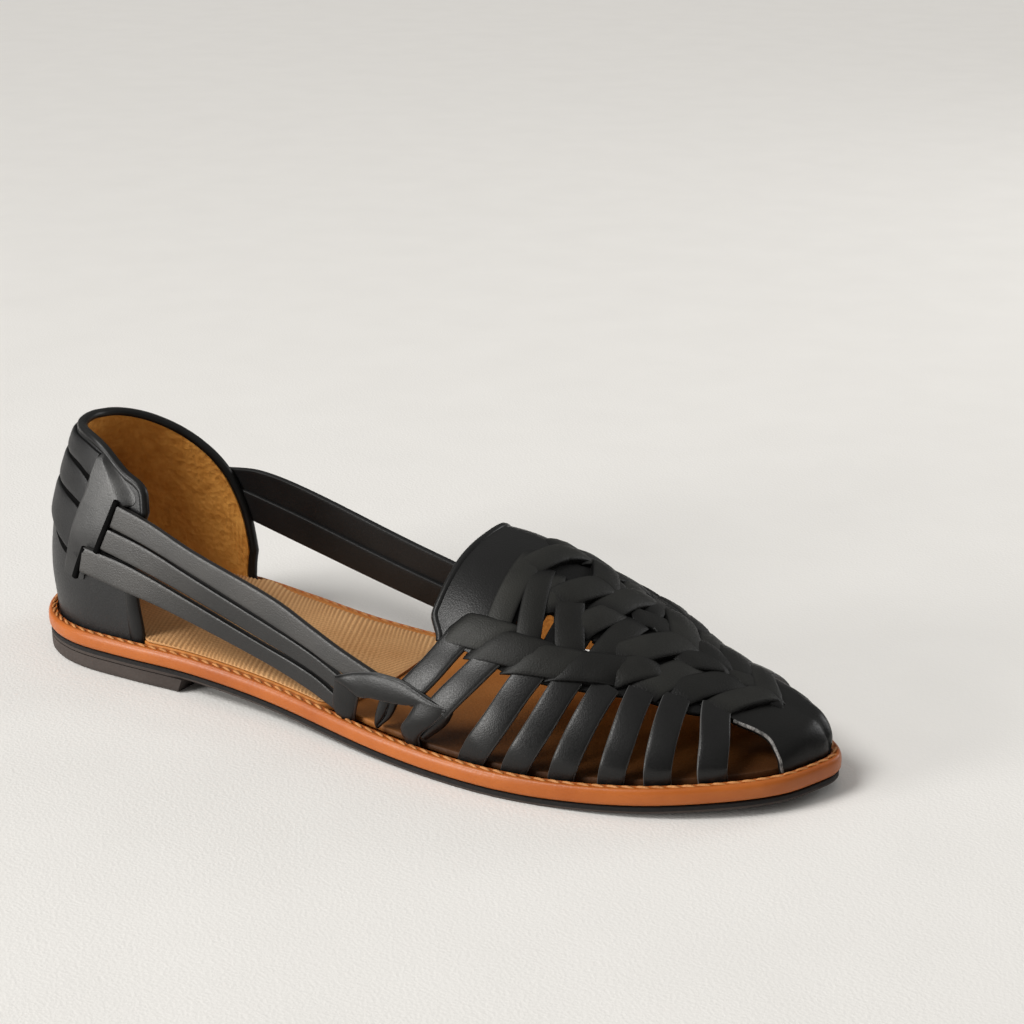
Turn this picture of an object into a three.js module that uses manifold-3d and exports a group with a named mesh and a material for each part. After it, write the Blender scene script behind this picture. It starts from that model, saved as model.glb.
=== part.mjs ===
// Huarache sandal, right shoe. Millimetres, toe along +X, outer side along -Y, +Z up.
import * as THREE from "three";
import Module from "manifold-3d";

const wasm = await Module();
wasm.setup();
const { Manifold, Mesh } = wasm;

// Sole heights
const OUTSOLE = 2.4;
const HEEL_LIFT = 4.8;
const TOE_SPRING = 3.0;
const MIDSOLE = 4.8;
const RECESS = 2.6;
const WELT = 2.6;
const BREAST_X = 63.3;
const BREAST_SLOPE = 2.4;
const GAP = 0.3;

// Reach of cutting forms past the shoe's sides
const CLEAR = 60;

// Plan of the sole: station, inner half and outer half of its edge
const PLAN = [
  { x: -1.6, inner: 0.0, outer: 0.0 },
  { x: 3, inner: 15.7, outer: -16.0 },
  { x: 12, inner: 25.0, outer: -25.4 },
  { x: 25, inner: 30.6, outer: -30.6 },
  { x: 45, inner: 32.7, outer: -32.0 },
  { x: 70, inner: 28.8, outer: -32.2 },
  { x: 100, inner: 25.4, outer: -34.8 },
  { x: 140, inner: 28.6, outer: -42.3 },
  { x: 170, inner: 37.2, outer: -45.6 },
  { x: 190, inner: 39.4, outer: -44.2 },
  { x: 215, inner: 34.3, outer: -38.2 },
  { x: 235, inner: 23.4, outer: -27.6 },
  { x: 247, inner: 13.4, outer: -16.6 },
  { x: 252.5, inner: 7.4, outer: -5.8 },
  { x: 254.5, inner: 1.6, outer: 1.6 },
];

// Ridge of the last over the forefoot: station, height above the floor, offset to the inner side
const RIDGE = [
  { x: 146, height: 55.0, offset: 4 },
  { x: 157, height: 54.0, offset: 4 },
  { x: 165, height: 51.8, offset: 4 },
  { x: 175, height: 47.8, offset: 4 },
  { x: 185, height: 42.8, offset: 4 },
  { x: 195, height: 37.6, offset: 4 },
  { x: 205, height: 33.3, offset: 3.5 },
  { x: 215, height: 28.8, offset: 3 },
  { x: 225, height: 25.2, offset: 2.5 },
  { x: 235, height: 22.1, offset: 2 },
  { x: 242, height: 19.8, offset: 1.8 },
  { x: 247, height: 18.2, offset: 1.7 },
  { x: 250.5, height: 14.2, offset: 1.6 },
  { x: 251.5, height: 10.2, offset: 1.6 },
];

// Heel counter: height over the welt, lean of its back, share of the sole's width
const COUNTER = [
  { height: -4, lean: 0.3, share: 0.99 },
  { height: 0, lean: 0.2, share: 1.0 },
  { height: 15, lean: -0.9, share: 1.02 },
  { height: 30, lean: 0.9, share: 0.98 },
  { height: 45, lean: 5.4, share: 0.89 },
  { height: 60, lean: 11.2, share: 0.77 },
];

// Collar of the counter: share of the way round, foot on the welt, top edge, height of that edge
const COLLAR_OUTER = [
  { way: 0, foot: 0, edge: 0, height: 57.5 },
  { way: 0.25, foot: 15.5, edge: 15, height: 58 },
  { way: 0.5, foot: 31, edge: 31, height: 58 },
  { way: 0.7, foot: 43.4, edge: 43.5, height: 55.6 },
  { way: 0.85, foot: 52.7, edge: 55.5, height: 49.6 },
  { way: 0.95, foot: 59, edge: 63, height: 46 },
  { way: 1, foot: 62, edge: 64.5, height: 40 },
];
const COLLAR_INNER = [
  { way: 0, foot: 0, edge: 0, height: 57.5 },
  { way: 0.25, foot: 15.5, edge: 13.5, height: 56 },
  { way: 0.5, foot: 31, edge: 29, height: 51.5 },
  { way: 0.7, foot: 43.4, edge: 44.5, height: 44.3 },
  { way: 0.85, foot: 52.7, edge: 54.5, height: 35.5 },
  { way: 0.95, foot: 59, edge: 60.5, height: 23 },
  { way: 1, foot: 62, edge: 63, height: 10 },
];

// Raised bands round the back of the counter: lower and upper edges over the welt on each side
const HEEL_BANDS = [
  {
    name: "top",
    rows: [
      { way: 0, outerLow: 50.6, outerHigh: 56.2, innerLow: 50.6, innerHigh: 56.2 },
      { way: 22, outerLow: 50.6, outerHigh: 56.8, innerLow: 46.8, innerHigh: 52.6 },
      { way: 34, outerLow: 49.6, outerHigh: 56.4, innerLow: 42, innerHigh: 48.6 },
      { way: 43, outerLow: 46.8, outerHigh: 54.6, innerLow: 37, innerHigh: 43.6 },
    ],
  },
  {
    name: "middle",
    rows: [
      { way: 0, outerLow: 41.6, outerHigh: 50.3, innerLow: 41.6, innerHigh: 50.3 },
      { way: 22, outerLow: 41.6, outerHigh: 50.2, innerLow: 38, innerHigh: 46.4 },
      { way: 34, outerLow: 40.2, outerHigh: 48.6, innerLow: 34, innerHigh: 41.2 },
      { way: 43, outerLow: 37.6, outerHigh: 44.6, innerLow: 30, innerHigh: 35.2 },
    ],
  },
  {
    name: "low",
    rows: [
      { way: 0, outerLow: 30.2, outerHigh: 41.3, innerLow: 30.2, innerHigh: 41.3 },
      { way: 22, outerLow: 29.9, outerHigh: 41.2, innerLow: 26.4, innerHigh: 37.6 },
      { way: 34, outerLow: 25.6, outerHigh: 39, innerLow: 22.6, innerHigh: 33 },
      { way: 43, outerLow: 21.4, outerHigh: 35.2, innerLow: 18.4, innerHigh: 28.2 },
    ],
  },
];

// Side tabs: height over the welt, rear edge and front edge as ways along the welt
const TAB_INNER = [
  { height: 6, rear: 38.5, front: 43 },
  { height: 13, rear: 38, front: 47.5 },
  { height: 24, rear: 40, front: 51.5 },
  { height: 34, rear: 42.5, front: 54 },
  { height: 38, rear: 43.5, front: 51 },
  { height: 41, rear: 44.5, front: 47 },
];
const TAB_OUTER = [
  { height: 16, rear: 33.5, front: 42.8 },
  { height: 26.2, rear: 36.5, front: 46.8 },
  { height: 27.2, rear: 36.7, front: 50.6 },
  { height: 40, rear: 40.2, front: 55.6 },
  { height: 41.2, rear: 40.5, front: 60.2 },
  { height: 44, rear: 41.2, front: 60.8 },
  { height: 49, rear: 42.6, front: 54.6 },
  { height: 53, rear: 44.2, front: 48.5 },
  { height: 54.5, rear: 44.6, front: 46 },
];

// Straps from the tabs to the keepers: station, offset of the middle, lower and upper edge over the floor
const STRAPS = [
  {
    name: "outer top",
    side: -1,
    rows: [
      { x: 41.3, y: -28.8, low: 46.4, high: 54.6 },
      { x: 54, y: -29.5, low: 43.3, high: 51.2 },
      { x: 70, y: -31, low: 38.9, high: 45.9 },
      { x: 100, y: -34, low: 30.2, high: 38 },
      { x: 114, y: -35.4, low: 25.6, high: 32.4 },
      { x: 123, y: -36.6, low: 22.4, high: 29 },
      { x: 138, y: -37.6, low: 17.4, high: 23.6 },
    ],
  },
  {
    name: "outer middle",
    side: -1,
    rows: [
      { x: 38, y: -29.9, low: 39.4, high: 47.2 },
      { x: 54, y: -30.7, low: 35.8, high: 43.6 },
      { x: 70, y: -31.6, low: 31.7, high: 38.5 },
      { x: 100, y: -34, low: 23.5, high: 29.5 },
      { x: 114, y: -35.4, low: 19.6, high: 25 },
      { x: 128, y: -37, low: 14.2, high: 18.8 },
    ],
  },
  {
    name: "outer low",
    side: -1,
    rows: [
      { x: 31, y: -31, low: 31.4, high: 40 },
      { x: 46, y: -31.4, low: 28.6, high: 37.6 },
      { x: 62, y: -31.9, low: 25.8, high: 33.4 },
      { x: 96, y: -33.6, low: 18, high: 23.6 },
      { x: 114, y: -35.5, low: 13.2, high: 18.8 },
      { x: 125, y: -36.8, low: 9, high: 13.4 },
    ],
  },
  {
    name: "inner top",
    side: 1,
    rows: [
      { x: 38, y: 27.8, low: 43, high: 51.4 },
      { x: 70, y: 26.7, low: 37.2, high: 46.4 },
      { x: 110, y: 25.3, low: 27.6, high: 36 },
      { x: 150, y: 27.3, low: 17, high: 24.6 },
    ],
  },
  {
    name: "inner low",
    side: 1,
    rows: [
      { x: 38, y: 27.8, low: 34.2, high: 42.4 },
      { x: 70, y: 26.7, low: 27.8, high: 36.6 },
      { x: 110, y: 25.3, low: 19, high: 27 },
      { x: 150, y: 27.3, low: 9.2, high: 16.4 },
    ],
  },
];

// Side strips of the forefoot: station and way down the side at top, middle and foot
const SIDE_STRIPS = [
  { topX: 181.5, top: 0.53, middleX: 175.5, middle: 0.79, footX: 168, foot: 1, width: 7.6 },
  { topX: 190.5, top: 0.5, middleX: 187, middle: 0.755, footX: 181, foot: 1, width: 7.2 },
  { topX: 199.5, top: 0.46, middleX: 197, middle: 0.75, footX: 194, foot: 1, width: 7.0 },
  { topX: 207.5, top: 0.41, middleX: 208, middle: 0.71, footX: 207, foot: 1, width: 7.0 },
  { topX: 215.8, top: 0.35, middleX: 217.5, middle: 0.66, footX: 218.5, foot: 1, width: 7.2 },
  { topX: 225, top: 0.29, middleX: 229, middle: 0.6, footX: 231, foot: 1, width: 7.8 },
];
const SHORT_STRIPS = [
  { topX: 159.5, top: 0.55, middleX: 153.5, middle: 0.7, footX: 146.5, foot: 0.83, width: 7.4 },
  { topX: 170.5, top: 0.55, middleX: 165, middle: 0.69, footX: 158, foot: 0.83, width: 7.0 },
];

// Strips of the weave, from one end to the other: stations and ways down the side (0 is the ridge)
const WEAVE = [
  { fromX: 168, from: 0.47, toX: 166, to: 0.1, width: 7.0, lift: 0.9 },
  { fromX: 177, from: 0.46, toX: 171, to: 0.17, width: 6.6, lift: 1.2 },
  { fromX: 178, from: 0.27, toX: 174.5, to: 0.13, width: 4.4, lift: 0.6 },
  { fromX: 188, from: 0.42, toX: 180.5, to: 0.19, width: 8.0, lift: 1.0 },
  { fromX: 178.5, from: 0.21, toX: 184.5, to: -0.01, width: 8.0, lift: 1.6 },
  { fromX: 186.5, from: 0.28, toX: 190.5, to: 0.1, width: 7.6, lift: 0.9 },
  { fromX: 195, from: 0.33, toX: 196, to: 0.09, width: 7.6, lift: 0.8 },
  { fromX: 199.5, from: 0.28, toX: 210, to: -0.03, width: 8.8, lift: 1.6 },
  { fromX: 211, from: 0.12, toX: 220, to: -0.02, width: 7.4, lift: 1.5 },
  { fromX: 199, from: 0.41, toX: 207, to: 0.25, width: 8.2, lift: 1.6 },
  { fromX: 208.5, from: 0.38, toX: 214.5, to: 0.12, width: 8.4, lift: 0.9 },
  { fromX: 216, from: 0.31, toX: 225, to: 0.05, width: 8.6, lift: 1.3 },
  { fromX: 226, from: 0.3, toX: 234.5, to: -0.03, width: 6.8, lift: 1.5 },
];
const WEAVE_RIDGE = [
  { fromX: 167, from: 0.16, toX: 173, to: -0.18, width: 7.0, lift: 1.3 },
  { fromX: 181.5, from: -0.04, toX: 188, to: -0.1, width: 7.0, lift: 0.9 },
  { fromX: 189, from: 0.1, toX: 192.5, to: -0.22, width: 8.0, lift: 1.3 },
  { fromX: 195, from: 0.03, toX: 204, to: -0.05, width: 7.4, lift: 0.8 },
  { fromX: 222.5, from: 0.02, toX: 230, to: -0.08, width: 7.0, lift: 0.9 },
];

// Braid that runs along each side from the instep band to the toe cap
const BRAID = [
  { fromX: 158.5, from: 0.51, toX: 182, to: 0.5, width: 9.4, lift: 1.5 },
  { fromX: 177, from: 0.52, toX: 201, to: 0.36, width: 9.0, lift: 1.9 },
];

// Lower edge of the woven wall: station, way down the side
const WALL_EDGE = [
  { x: 150, way: 0.6 },
  { x: 164, way: 0.57 },
  { x: 176, way: 0.57 },
  { x: 185, way: 0.54 },
  { x: 196, way: 0.48 },
  { x: 211, way: 0.39 },
  { x: 220, way: 0.36 },
  { x: 229, way: 0.3 },
  { x: 238, way: 0.3 },
];

// Rear edge of the toe cap and of its crescent openings: way down the side, station
const CAP_EDGE = [
  { way: 0, x: 235 },
  { way: 0.2, x: 233 },
  { way: 0.32, x: 229.5 },
  { way: 0.4, x: 230.5 },
  { way: 0.45, x: 237.5 },
  { way: 0.56, x: 242 },
  { way: 0.7, x: 244 },
  { way: 1, x: 245.2 },
];

// Openings through the woven wall: station, way down the side, length along it, length across it
const OPENINGS = [
  { x: 179, way: 0.34, along: 2.6, across: 7.0 },
  { x: 192, way: 0.31, along: 3.6, across: 3.6 },
  { x: 172.8, way: 0.42, along: 1.6, across: 4.4 },
];

// Keeper: the knotted strap that holds the side straps, as ribbons between two edges
const KEEPER = [
  {
    name: "fold",
    rows: [
      { leftX: 123, leftY: -38, leftZ: 20.5, rightX: 131.2, rightY: -38.7, rightZ: 18.5 },
      { leftX: 121.8, leftY: -37.6, leftZ: 10.8, rightX: 128.6, rightY: -37.8, rightZ: 8.9 },
      { leftX: 125.6, leftY: -36.6, leftZ: 6.2, rightX: 128.6, rightY: -36.7, rightZ: 6 },
    ],
  },
  {
    name: "loop",
    rows: [
      { leftX: 123.6, leftY: -38.3, leftZ: 20.7, rightX: 124.2, rightY: -38.3, rightZ: 19.2 },
      { leftX: 126.1, leftY: -39, leftZ: 21.9, rightX: 127.4, rightY: -39.3, rightZ: 18.7 },
      { leftX: 130.7, leftY: -39, leftZ: 23.6, rightX: 131.5, rightY: -39.9, rightZ: 16.8 },
      { leftX: 136.4, leftY: -39.4, leftZ: 24.8, rightX: 135.9, rightY: -40.4, rightZ: 17.5 },
      { leftX: 141.4, leftY: -39.7, leftZ: 24.9, rightX: 141.2, rightY: -40.8, rightZ: 17.7 },
      { leftX: 146.2, leftY: -40.1, leftZ: 24.6, rightX: 146.6, rightY: -41.2, rightZ: 18.2 },
      { leftX: 150.4, leftY: -40.5, leftZ: 23.5, rightX: 150.9, rightY: -41.4, rightZ: 19 },
      { leftX: 155, leftY: -41, leftZ: 22, rightX: 154.8, rightY: -41.7, rightZ: 19.2 },
      { leftX: 160.8, leftY: -41.4, leftZ: 20.6, rightX: 160.2, rightY: -41.6, rightZ: 18.6 },
    ],
  },
  {
    name: "end",
    rows: [
      { leftX: 151.2, leftY: -41.4, leftZ: 20.4, rightX: 161.2, rightY: -41.7, rightZ: 20.4 },
      { leftX: 148.6, leftY: -42.1, leftZ: 15.5, rightX: 156.8, rightY: -42.5, rightZ: 15.2 },
      { leftX: 146.2, leftY: -41.7, leftZ: 11.4, rightX: 152.2, rightY: -41.9, rightZ: 10.4 },
      { leftX: 147.6, leftY: -40.5, leftZ: 6.2, rightX: 151.4, rightY: -40.5, rightZ: 6 },
    ],
  },
  {
    name: "curl",
    rows: [
      { leftX: 160.6, leftY: -41.4, leftZ: 20, rightX: 161.9, rightY: -39.8, rightZ: 18.2 },
      { leftX: 156.8, leftY: -41.6, leftZ: 15, rightX: 159.4, rightY: -39.4, rightZ: 14.2 },
      { leftX: 152.4, leftY: -41, leftZ: 10.4, rightX: 153.6, rightY: -39.6, rightZ: 9 },
    ],
  },
  {
    name: "tail",
    rows: [
      { leftX: 138.4, leftY: -39.2, leftZ: 18, rightX: 142, rightY: -39.4, rightZ: 18.4 },
      { leftX: 137, leftY: -39.3, leftZ: 13.4, rightX: 139.8, rightY: -39.4, rightZ: 13 },
      { leftX: 136.2, leftY: -38.8, leftZ: 10.4, rightX: 137.6, rightY: -38.7, rightZ: 9.4 },
      { leftX: 136.5, leftY: -38.4, leftZ: 8.7, rightX: 137.3, rightY: -38.4, rightZ: 8.2 },
    ],
  },
  {
    name: "twist",
    rows: [
      { leftX: 141.3, leftY: -38.8, leftZ: 18, rightX: 144, rightY: -38.4, rightZ: 18 },
      { leftX: 139.6, leftY: -38.7, leftZ: 12.8, rightX: 141.4, rightY: -38.2, rightZ: 12.4 },
      { leftX: 136.9, leftY: -38.4, leftZ: 9.2, rightX: 137.7, rightY: -38.3, rightZ: 8.7 },
    ],
  },
];

// The inner side's keeper is a plain wrap
const INNER_KEEPER = [
  { x: 150, y: 29.4, z: 25.5 },
  { x: 150, y: 30.2, z: 19.5 },
  { x: 150.5, y: 30.0, z: 12.5 },
  { x: 151, y: 28.4, z: 5.4 },
];

// Thicknesses of the upper's leather
const WALL = 1.4;
const STRIP = 2.0;
const COUNTER_WALL = 2.4;
const BAND_X = 149.5;
const BAND_FRONT = 166.5;
const BINDING = 1.5;

// Points along each side of the sole's edge, and the smallest step that the upper's surface keeps
const EDGE_POINTS = 34;
const SMALLEST_STEP = 0.1;
const FINE = 360;

// Smooth curve through a table's column, read at one value of its key column.
function read(rows, key, column, at) {
  const last = rows.length - 1;
  let i = 0;
  while (i < last - 1 && at > rows[i + 1][key]) i++;
  const slope = (k) => {
    const a = rows[Math.max(k - 1, 0)];
    const b = rows[Math.min(k + 1, last)];
    return (b[column] - a[column]) / (b[key] - a[key]);
  };
  const span = rows[i + 1][key] - rows[i][key];
  const t = Math.min(Math.max((at - rows[i][key]) / span, 0), 1);
  const a = rows[i][column];
  const b = rows[i + 1][column];
  const ease = t * t * (3 - 2 * t);
  const rise = t * (1 - t) * ((1 - t) * slope(i) - t * slope(i + 1)) * span;
  return a + (b - a) * ease + rise;
}

function smooth(from, to, value) {
  const t = Math.min(Math.max((value - from) / (to - from), 0), 1);
  return t * t * (3 - 2 * t);
}

function mix(a, b, t) {
  return a + (b - a) * t;
}

// Undersides and tops of the sole's layers over the floor.
function solePlane(x) {
  return OUTSOLE + HEEL_LIFT * (1 - smooth(55, 160, x)) + TOE_SPRING * smooth(185, 255, x);
}

function weltTop(x) {
  return solePlane(x) + MIDSOLE;
}

function recessFloor(x) {
  return weltTop(x) - RECESS;
}

// The sole's edge moved inwards: a closed row of points from the heel along the inner side and back.
const roundedPlan = PLAN.map((row) => ({
  ...row,
  turn: Math.acos(1 - (2 * (row.x - PLAN[0].x)) / (PLAN[PLAN.length - 1].x - PLAN[0].x)),
}));

function soleEdge() {
  const points = [];
  const reach = PLAN[PLAN.length - 1].x - PLAN[0].x;
  for (let i = 0; i < 2 * FINE; i++) {
    const turn = (Math.PI * i) / FINE;
    const inner = turn <= Math.PI;
    const t = inner ? turn : 2 * Math.PI - turn;
    const x = PLAN[0].x + (reach * (1 - Math.cos(t))) / 2;
    points.push({ x, y: read(roundedPlan, "turn", inner ? "inner" : "outer", t) });
  }
  return points;
}

const EDGE = soleEdge();

function movedIn(inset) {
  const count = EDGE.length;
  const moved = EDGE.map((p, i) => {
    const a = EDGE[(i + count - 2) % count];
    const b = EDGE[(i + 2) % count];
    const size = Math.hypot(b.x - a.x, b.y - a.y);
    const d = typeof inset === "function" ? inset(p.x, p.y > 1 ? 1 : -1) : inset;
    return { x: p.x + ((b.y - a.y) / size) * d, y: p.y - ((b.x - a.x) / size) * d };
  });
  let heel = 0;
  let toe = 0;
  moved.forEach((p, i) => {
    if (p.x < moved[heel].x) heel = i;
    if (p.x > moved[toe].x) toe = i;
  });
  const walk = (from, to, step) => {
    const out = [];
    for (let i = from; i !== to; i = (i + step + count) % count) out.push(moved[i]);
    out.push(moved[to]);
    return out;
  };
  return { inner: walk(heel, toe, 1), outer: walk(heel, toe, -1), heel: moved[heel], toe: moved[toe] };
}

function along(points, x) {
  let i = 0;
  while (i < points.length - 2 && points[i + 1].x < x) i++;
  const a = points[i];
  const b = points[i + 1];
  const t = Math.min(Math.max((x - a.x) / Math.max(b.x - a.x, 1e-6), 0), 1);
  return mix(a.y, b.y, t);
}

// A point that many millimetres round a side from the middle of the heel.
function walked(points, way) {
  let left = way;
  for (let i = 0; i < points.length - 1; i++) {
    const a = points[i];
    const b = points[i + 1];
    const size = Math.hypot(b.x - a.x, b.y - a.y);
    if (left <= size) return { x: mix(a.x, b.x, left / size), y: mix(a.y, b.y, left / size) };
    left -= size;
  }
  return points[points.length - 1];
}

function edgeRing(inset) {
  const plan = movedIn(inset);
  const ring = [{ x: plan.heel.x, y: plan.heel.y }];
  const at = (i) => plan.heel.x + ((plan.toe.x - plan.heel.x) * (1 - Math.cos((Math.PI * i) / EDGE_POINTS))) / 2;
  for (let i = 1; i < EDGE_POINTS; i++) ring.push({ x: at(i), y: along(plan.inner, at(i)) });
  ring.push({ x: plan.toe.x, y: plan.toe.y });
  for (let i = EDGE_POINTS - 1; i > 0; i--) ring.push({ x: at(i), y: along(plan.outer, at(i)) });
  return ring;
}

// Solids are made from a list of corners and faces, turned outwards where the faces point in.
function solid(corners, faces) {
  const build = (list) =>
    new Manifold(
      new Mesh({
        numProp: 3,
        vertProperties: new Float32Array(corners.flat()),
        triVerts: new Uint32Array(list.flat()),
      }),
    );
  const made = build(faces);
  return made.volume() < 0 ? build(faces.map(([a, b, c]) => [a, c, b])) : made;
}

// A layer of the sole from rows of inset and height.
function layer(levels) {
  const rings = levels.map((level) =>
    edgeRing(level.inset).map((p) => [p.x, p.y, level.height(p.x)]),
  );
  const size = 2 * EDGE_POINTS;
  const corners = rings.flat();
  const faces = [];
  for (let k = 0; k < rings.length - 1; k++) {
    for (let i = 0; i < size; i++) {
      const j = (i + 1) % size;
      const a = k * size;
      faces.push([a + i, a + j, a + size + j], [a + i, a + size + j, a + size + i]);
    }
  }
  const cap = (base, up) => {
    for (let i = 0; i < EDGE_POINTS; i++) {
      const inner = base + i;
      const outer = base + ((size - i) % size);
      const innerNext = base + i + 1;
      const outerNext = base + size - i - 1;
      if (i > 0) faces.push(up ? [inner, innerNext, outer] : [inner, outer, innerNext]);
      if (i < EDGE_POINTS - 1)
        faces.push(up ? [outer, innerNext, outerNext] : [outer, outerNext, innerNext]);
    }
  };
  cap(0, false);
  cap((rings.length - 1) * size, true);
  return solid(corners, faces);
}

// A wall between an outer and an inner grid of points.
function wall(across, down, outer, inner) {
  const corners = [];
  for (const face of [outer, inner])
    for (let i = 0; i <= across; i++)
      for (let j = 0; j <= down; j++) corners.push(face(i / across, j / down));
  const half = (across + 1) * (down + 1);
  const at = (i, j) => i * (down + 1) + j;
  const faces = [];
  for (let i = 0; i < across; i++)
    for (let j = 0; j < down; j++) {
      const [a, b, c, d] = [at(i, j), at(i + 1, j), at(i + 1, j + 1), at(i, j + 1)];
      faces.push([a, b, c], [a, c, d]);
      faces.push([half + a, half + c, half + b], [half + a, half + d, half + c]);
    }
  const rim = [];
  for (let i = 0; i < across; i++) rim.push(at(i, 0));
  for (let j = 0; j < down; j++) rim.push(at(across, j));
  for (let i = across; i > 0; i--) rim.push(at(i, down));
  for (let j = down; j > 0; j--) rim.push(at(0, j));
  rim.forEach((a, k) => {
    const b = rim[(k + 1) % rim.length];
    faces.push([a, half + a, half + b], [a, half + b, b]);
  });
  return solid(corners, faces);
}

// A strip swept along stations, each with a centre, its width's direction and its outward direction.
const FLAT = [
  [-0.5, 0],
  [-0.45, 1],
  [0.45, 1],
  [0.5, 0],
];
const PILLOW = [
  [-0.5, 0],
  [-0.38, 0.9],
  [0.38, 0.9],
  [0.5, 0],
];

function sweep(stations, section) {
  const corners = [];
  for (const s of stations)
    for (const [a, b] of section) {
      const p = s.centre
        .clone()
        .addScaledVector(s.side, a * s.width)
        .addScaledVector(s.out, b * s.thick + s.sink);
      corners.push([p.x, p.y, p.z]);
    }
  const size = section.length;
  const faces = [];
  for (let k = 0; k < stations.length - 1; k++)
    for (let i = 0; i < size; i++) {
      const j = (i + 1) % size;
      const a = k * size;
      faces.push([a + i, a + j, a + size + j], [a + i, a + size + j, a + size + i]);
    }
  const end = (stations.length - 1) * size;
  for (let i = 1; i < size - 1; i++) {
    faces.push([0, i + 1, i]);
    faces.push([end, end + i, end + i + 1]);
  }
  return solid(corners, faces);
}

function framed(points, outs, width, thick, sink) {
  return points.map((centre, i) => {
    const before = points[Math.max(i - 1, 0)];
    const after = points[Math.min(i + 1, points.length - 1)];
    const run = after.clone().sub(before).normalize();
    const out = outs[i].clone().addScaledVector(run, -outs[i].dot(run)).normalize();
    const side = new THREE.Vector3().crossVectors(out, run).normalize();
    const t = i / (points.length - 1);
    return {
      centre,
      out,
      side,
      width: typeof width === "function" ? width(t) : width,
      thick: typeof thick === "function" ? thick(t) : thick,
      sink: typeof sink === "function" ? sink(t) : sink,
    };
  });
}

// The last over the forefoot: way 0 is the ridge, -1 the outer and 1 the inner edge at the welt.
const LAST_PLAN = movedIn(WELT + 0.7);

function lastPoint(x, way) {
  const side = way < 0 ? LAST_PLAN.outer : LAST_PLAN.inner;
  const turn = (Math.abs(way) * Math.PI) / 2;
  const foot = along(side, x);
  const ridge = read(RIDGE, "x", "offset", x);
  const height = read(RIDGE, "x", "height", x) - weltTop(x);
  return new THREE.Vector3(
    x,
    ridge + (foot - ridge) * Math.sin(turn),
    weltTop(x) + height * Math.cos(turn),
  );
}

function lastOut(x, way) {
  const step = 0.6;
  const back = Math.min(x, 250.5);
  const a = lastPoint(back + step, way).sub(lastPoint(back - step, way));
  const b = lastPoint(back, way + 0.02).sub(lastPoint(back, way - 0.02));
  const out = new THREE.Vector3().crossVectors(a, b).normalize();
  return out;
}

function onLast(x, way, lift) {
  return lastPoint(x, way).addScaledVector(lastOut(x, way), lift);
}

const corner = (p) => [p.x, p.y, p.z];

// The heel counter's face: a way round from the middle of the heel and a height over the welt.
function counterPoint(side, way, height) {
  const foot = walked(side < 0 ? LAST_PLAN.outer : LAST_PLAN.inner, way);
  const lean = read(COUNTER, "height", "lean", height) * (1 - smooth(0, 55, foot.x));
  return new THREE.Vector3(
    foot.x + lean,
    foot.y * read(COUNTER, "height", "share", height),
    weltTop(foot.x) + height,
  );
}

function counterOut(side, way, height) {
  const round = counterPoint(side, way + 0.8, height);
  const behind = way > 0.8 ? counterPoint(side, way - 0.8, height) : counterPoint(-side, 0.8 - way, height);
  const run = round.sub(behind);
  const rise = counterPoint(side, way, height + 1).sub(counterPoint(side, way, height - 1));
  const out = new THREE.Vector3().crossVectors(run, rise).normalize();
  return side > 0 ? out.negate() : out;
}

function onCounter(side, way, height, lift) {
  return counterPoint(side, way, height).addScaledVector(counterOut(side, way, height), lift);
}

// Sole layers
const outsole = layer([
  { inset: 1.2, height: (x) => solePlane(x) - OUTSOLE },
  { inset: 0.5, height: (x) => solePlane(x) - OUTSOLE + 0.7 },
  { inset: 0.5, height: (x) => solePlane(x) - GAP },
]);

const heelBlock = layer([
  { inset: 1.4, height: () => 0 },
  { inset: 0.6, height: () => 0.8 },
  { inset: 0.5, height: (x) => solePlane(x) - OUTSOLE - GAP },
]);
const breastCut = wall(
  1,
  1,
  (u, v) => [BREAST_X + BREAST_SLOPE * (2 * v - 0.2), mix(-CLEAR, CLEAR, u), mix(-1, HEEL_LIFT * 2, v)],
  (u, v) => [BREAST_X + CLEAR * 4, mix(-CLEAR, CLEAR, u), mix(-1, HEEL_LIFT * 2, v)],
);
const heel = heelBlock.subtract(breastCut);

const midsoleBody = layer([
  { inset: 1.0, height: (x) => solePlane(x) },
  { inset: 0.1, height: (x) => solePlane(x) + 1.1 },
  { inset: 0.1, height: (x) => solePlane(x) + 3.5 },
  { inset: 1.1, height: (x) => weltTop(x) },
]);
const recess = layer([
  { inset: WELT, height: (x) => recessFloor(x) },
  { inset: WELT, height: (x) => weltTop(x) + 2 },
]);
const midsole = midsoleBody.subtract(recess);

// The insole reaches the welt along the open waist and stays inside the upper's wall elsewhere.
function insoleInset(x, side) {
  const waist = side > 0 ? smooth(51, 56, x) * (1 - smooth(142, 147, x)) : smooth(51, 56, x) * (1 - smooth(114, 119, x));
  return mix(WELT + 2.8, WELT + 0.3, waist);
}
const insole = layer([
  { inset: insoleInset, height: (x) => recessFloor(x) + 1.4 },
  { inset: insoleInset, height: (x) => weltTop(x) + 0.4 },
]);

const SOCK_FRONT = 125;
const SOCK_CURVE = 16;
const sockBody = layer([
  { inset: (x, side) => insoleInset(x, side) + 0.9, height: (x) => weltTop(x) + 0.4 + GAP },
  { inset: (x, side) => insoleInset(x, side) + 0.9, height: (x) => weltTop(x) + 1.5 },
]);
const frontCut = wall(
  1,
  10,
  (u, v) => [SOCK_FRONT - SOCK_CURVE * (2 * v - 1) ** 2, mix(-CLEAR, CLEAR, v), mix(-5, 40, u)],
  (u, v) => [SOCK_FRONT + CLEAR * 3, mix(-CLEAR, CLEAR, v), mix(-5, 40, u)],
);
const sock = sockBody.subtract(frontCut);

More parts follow.
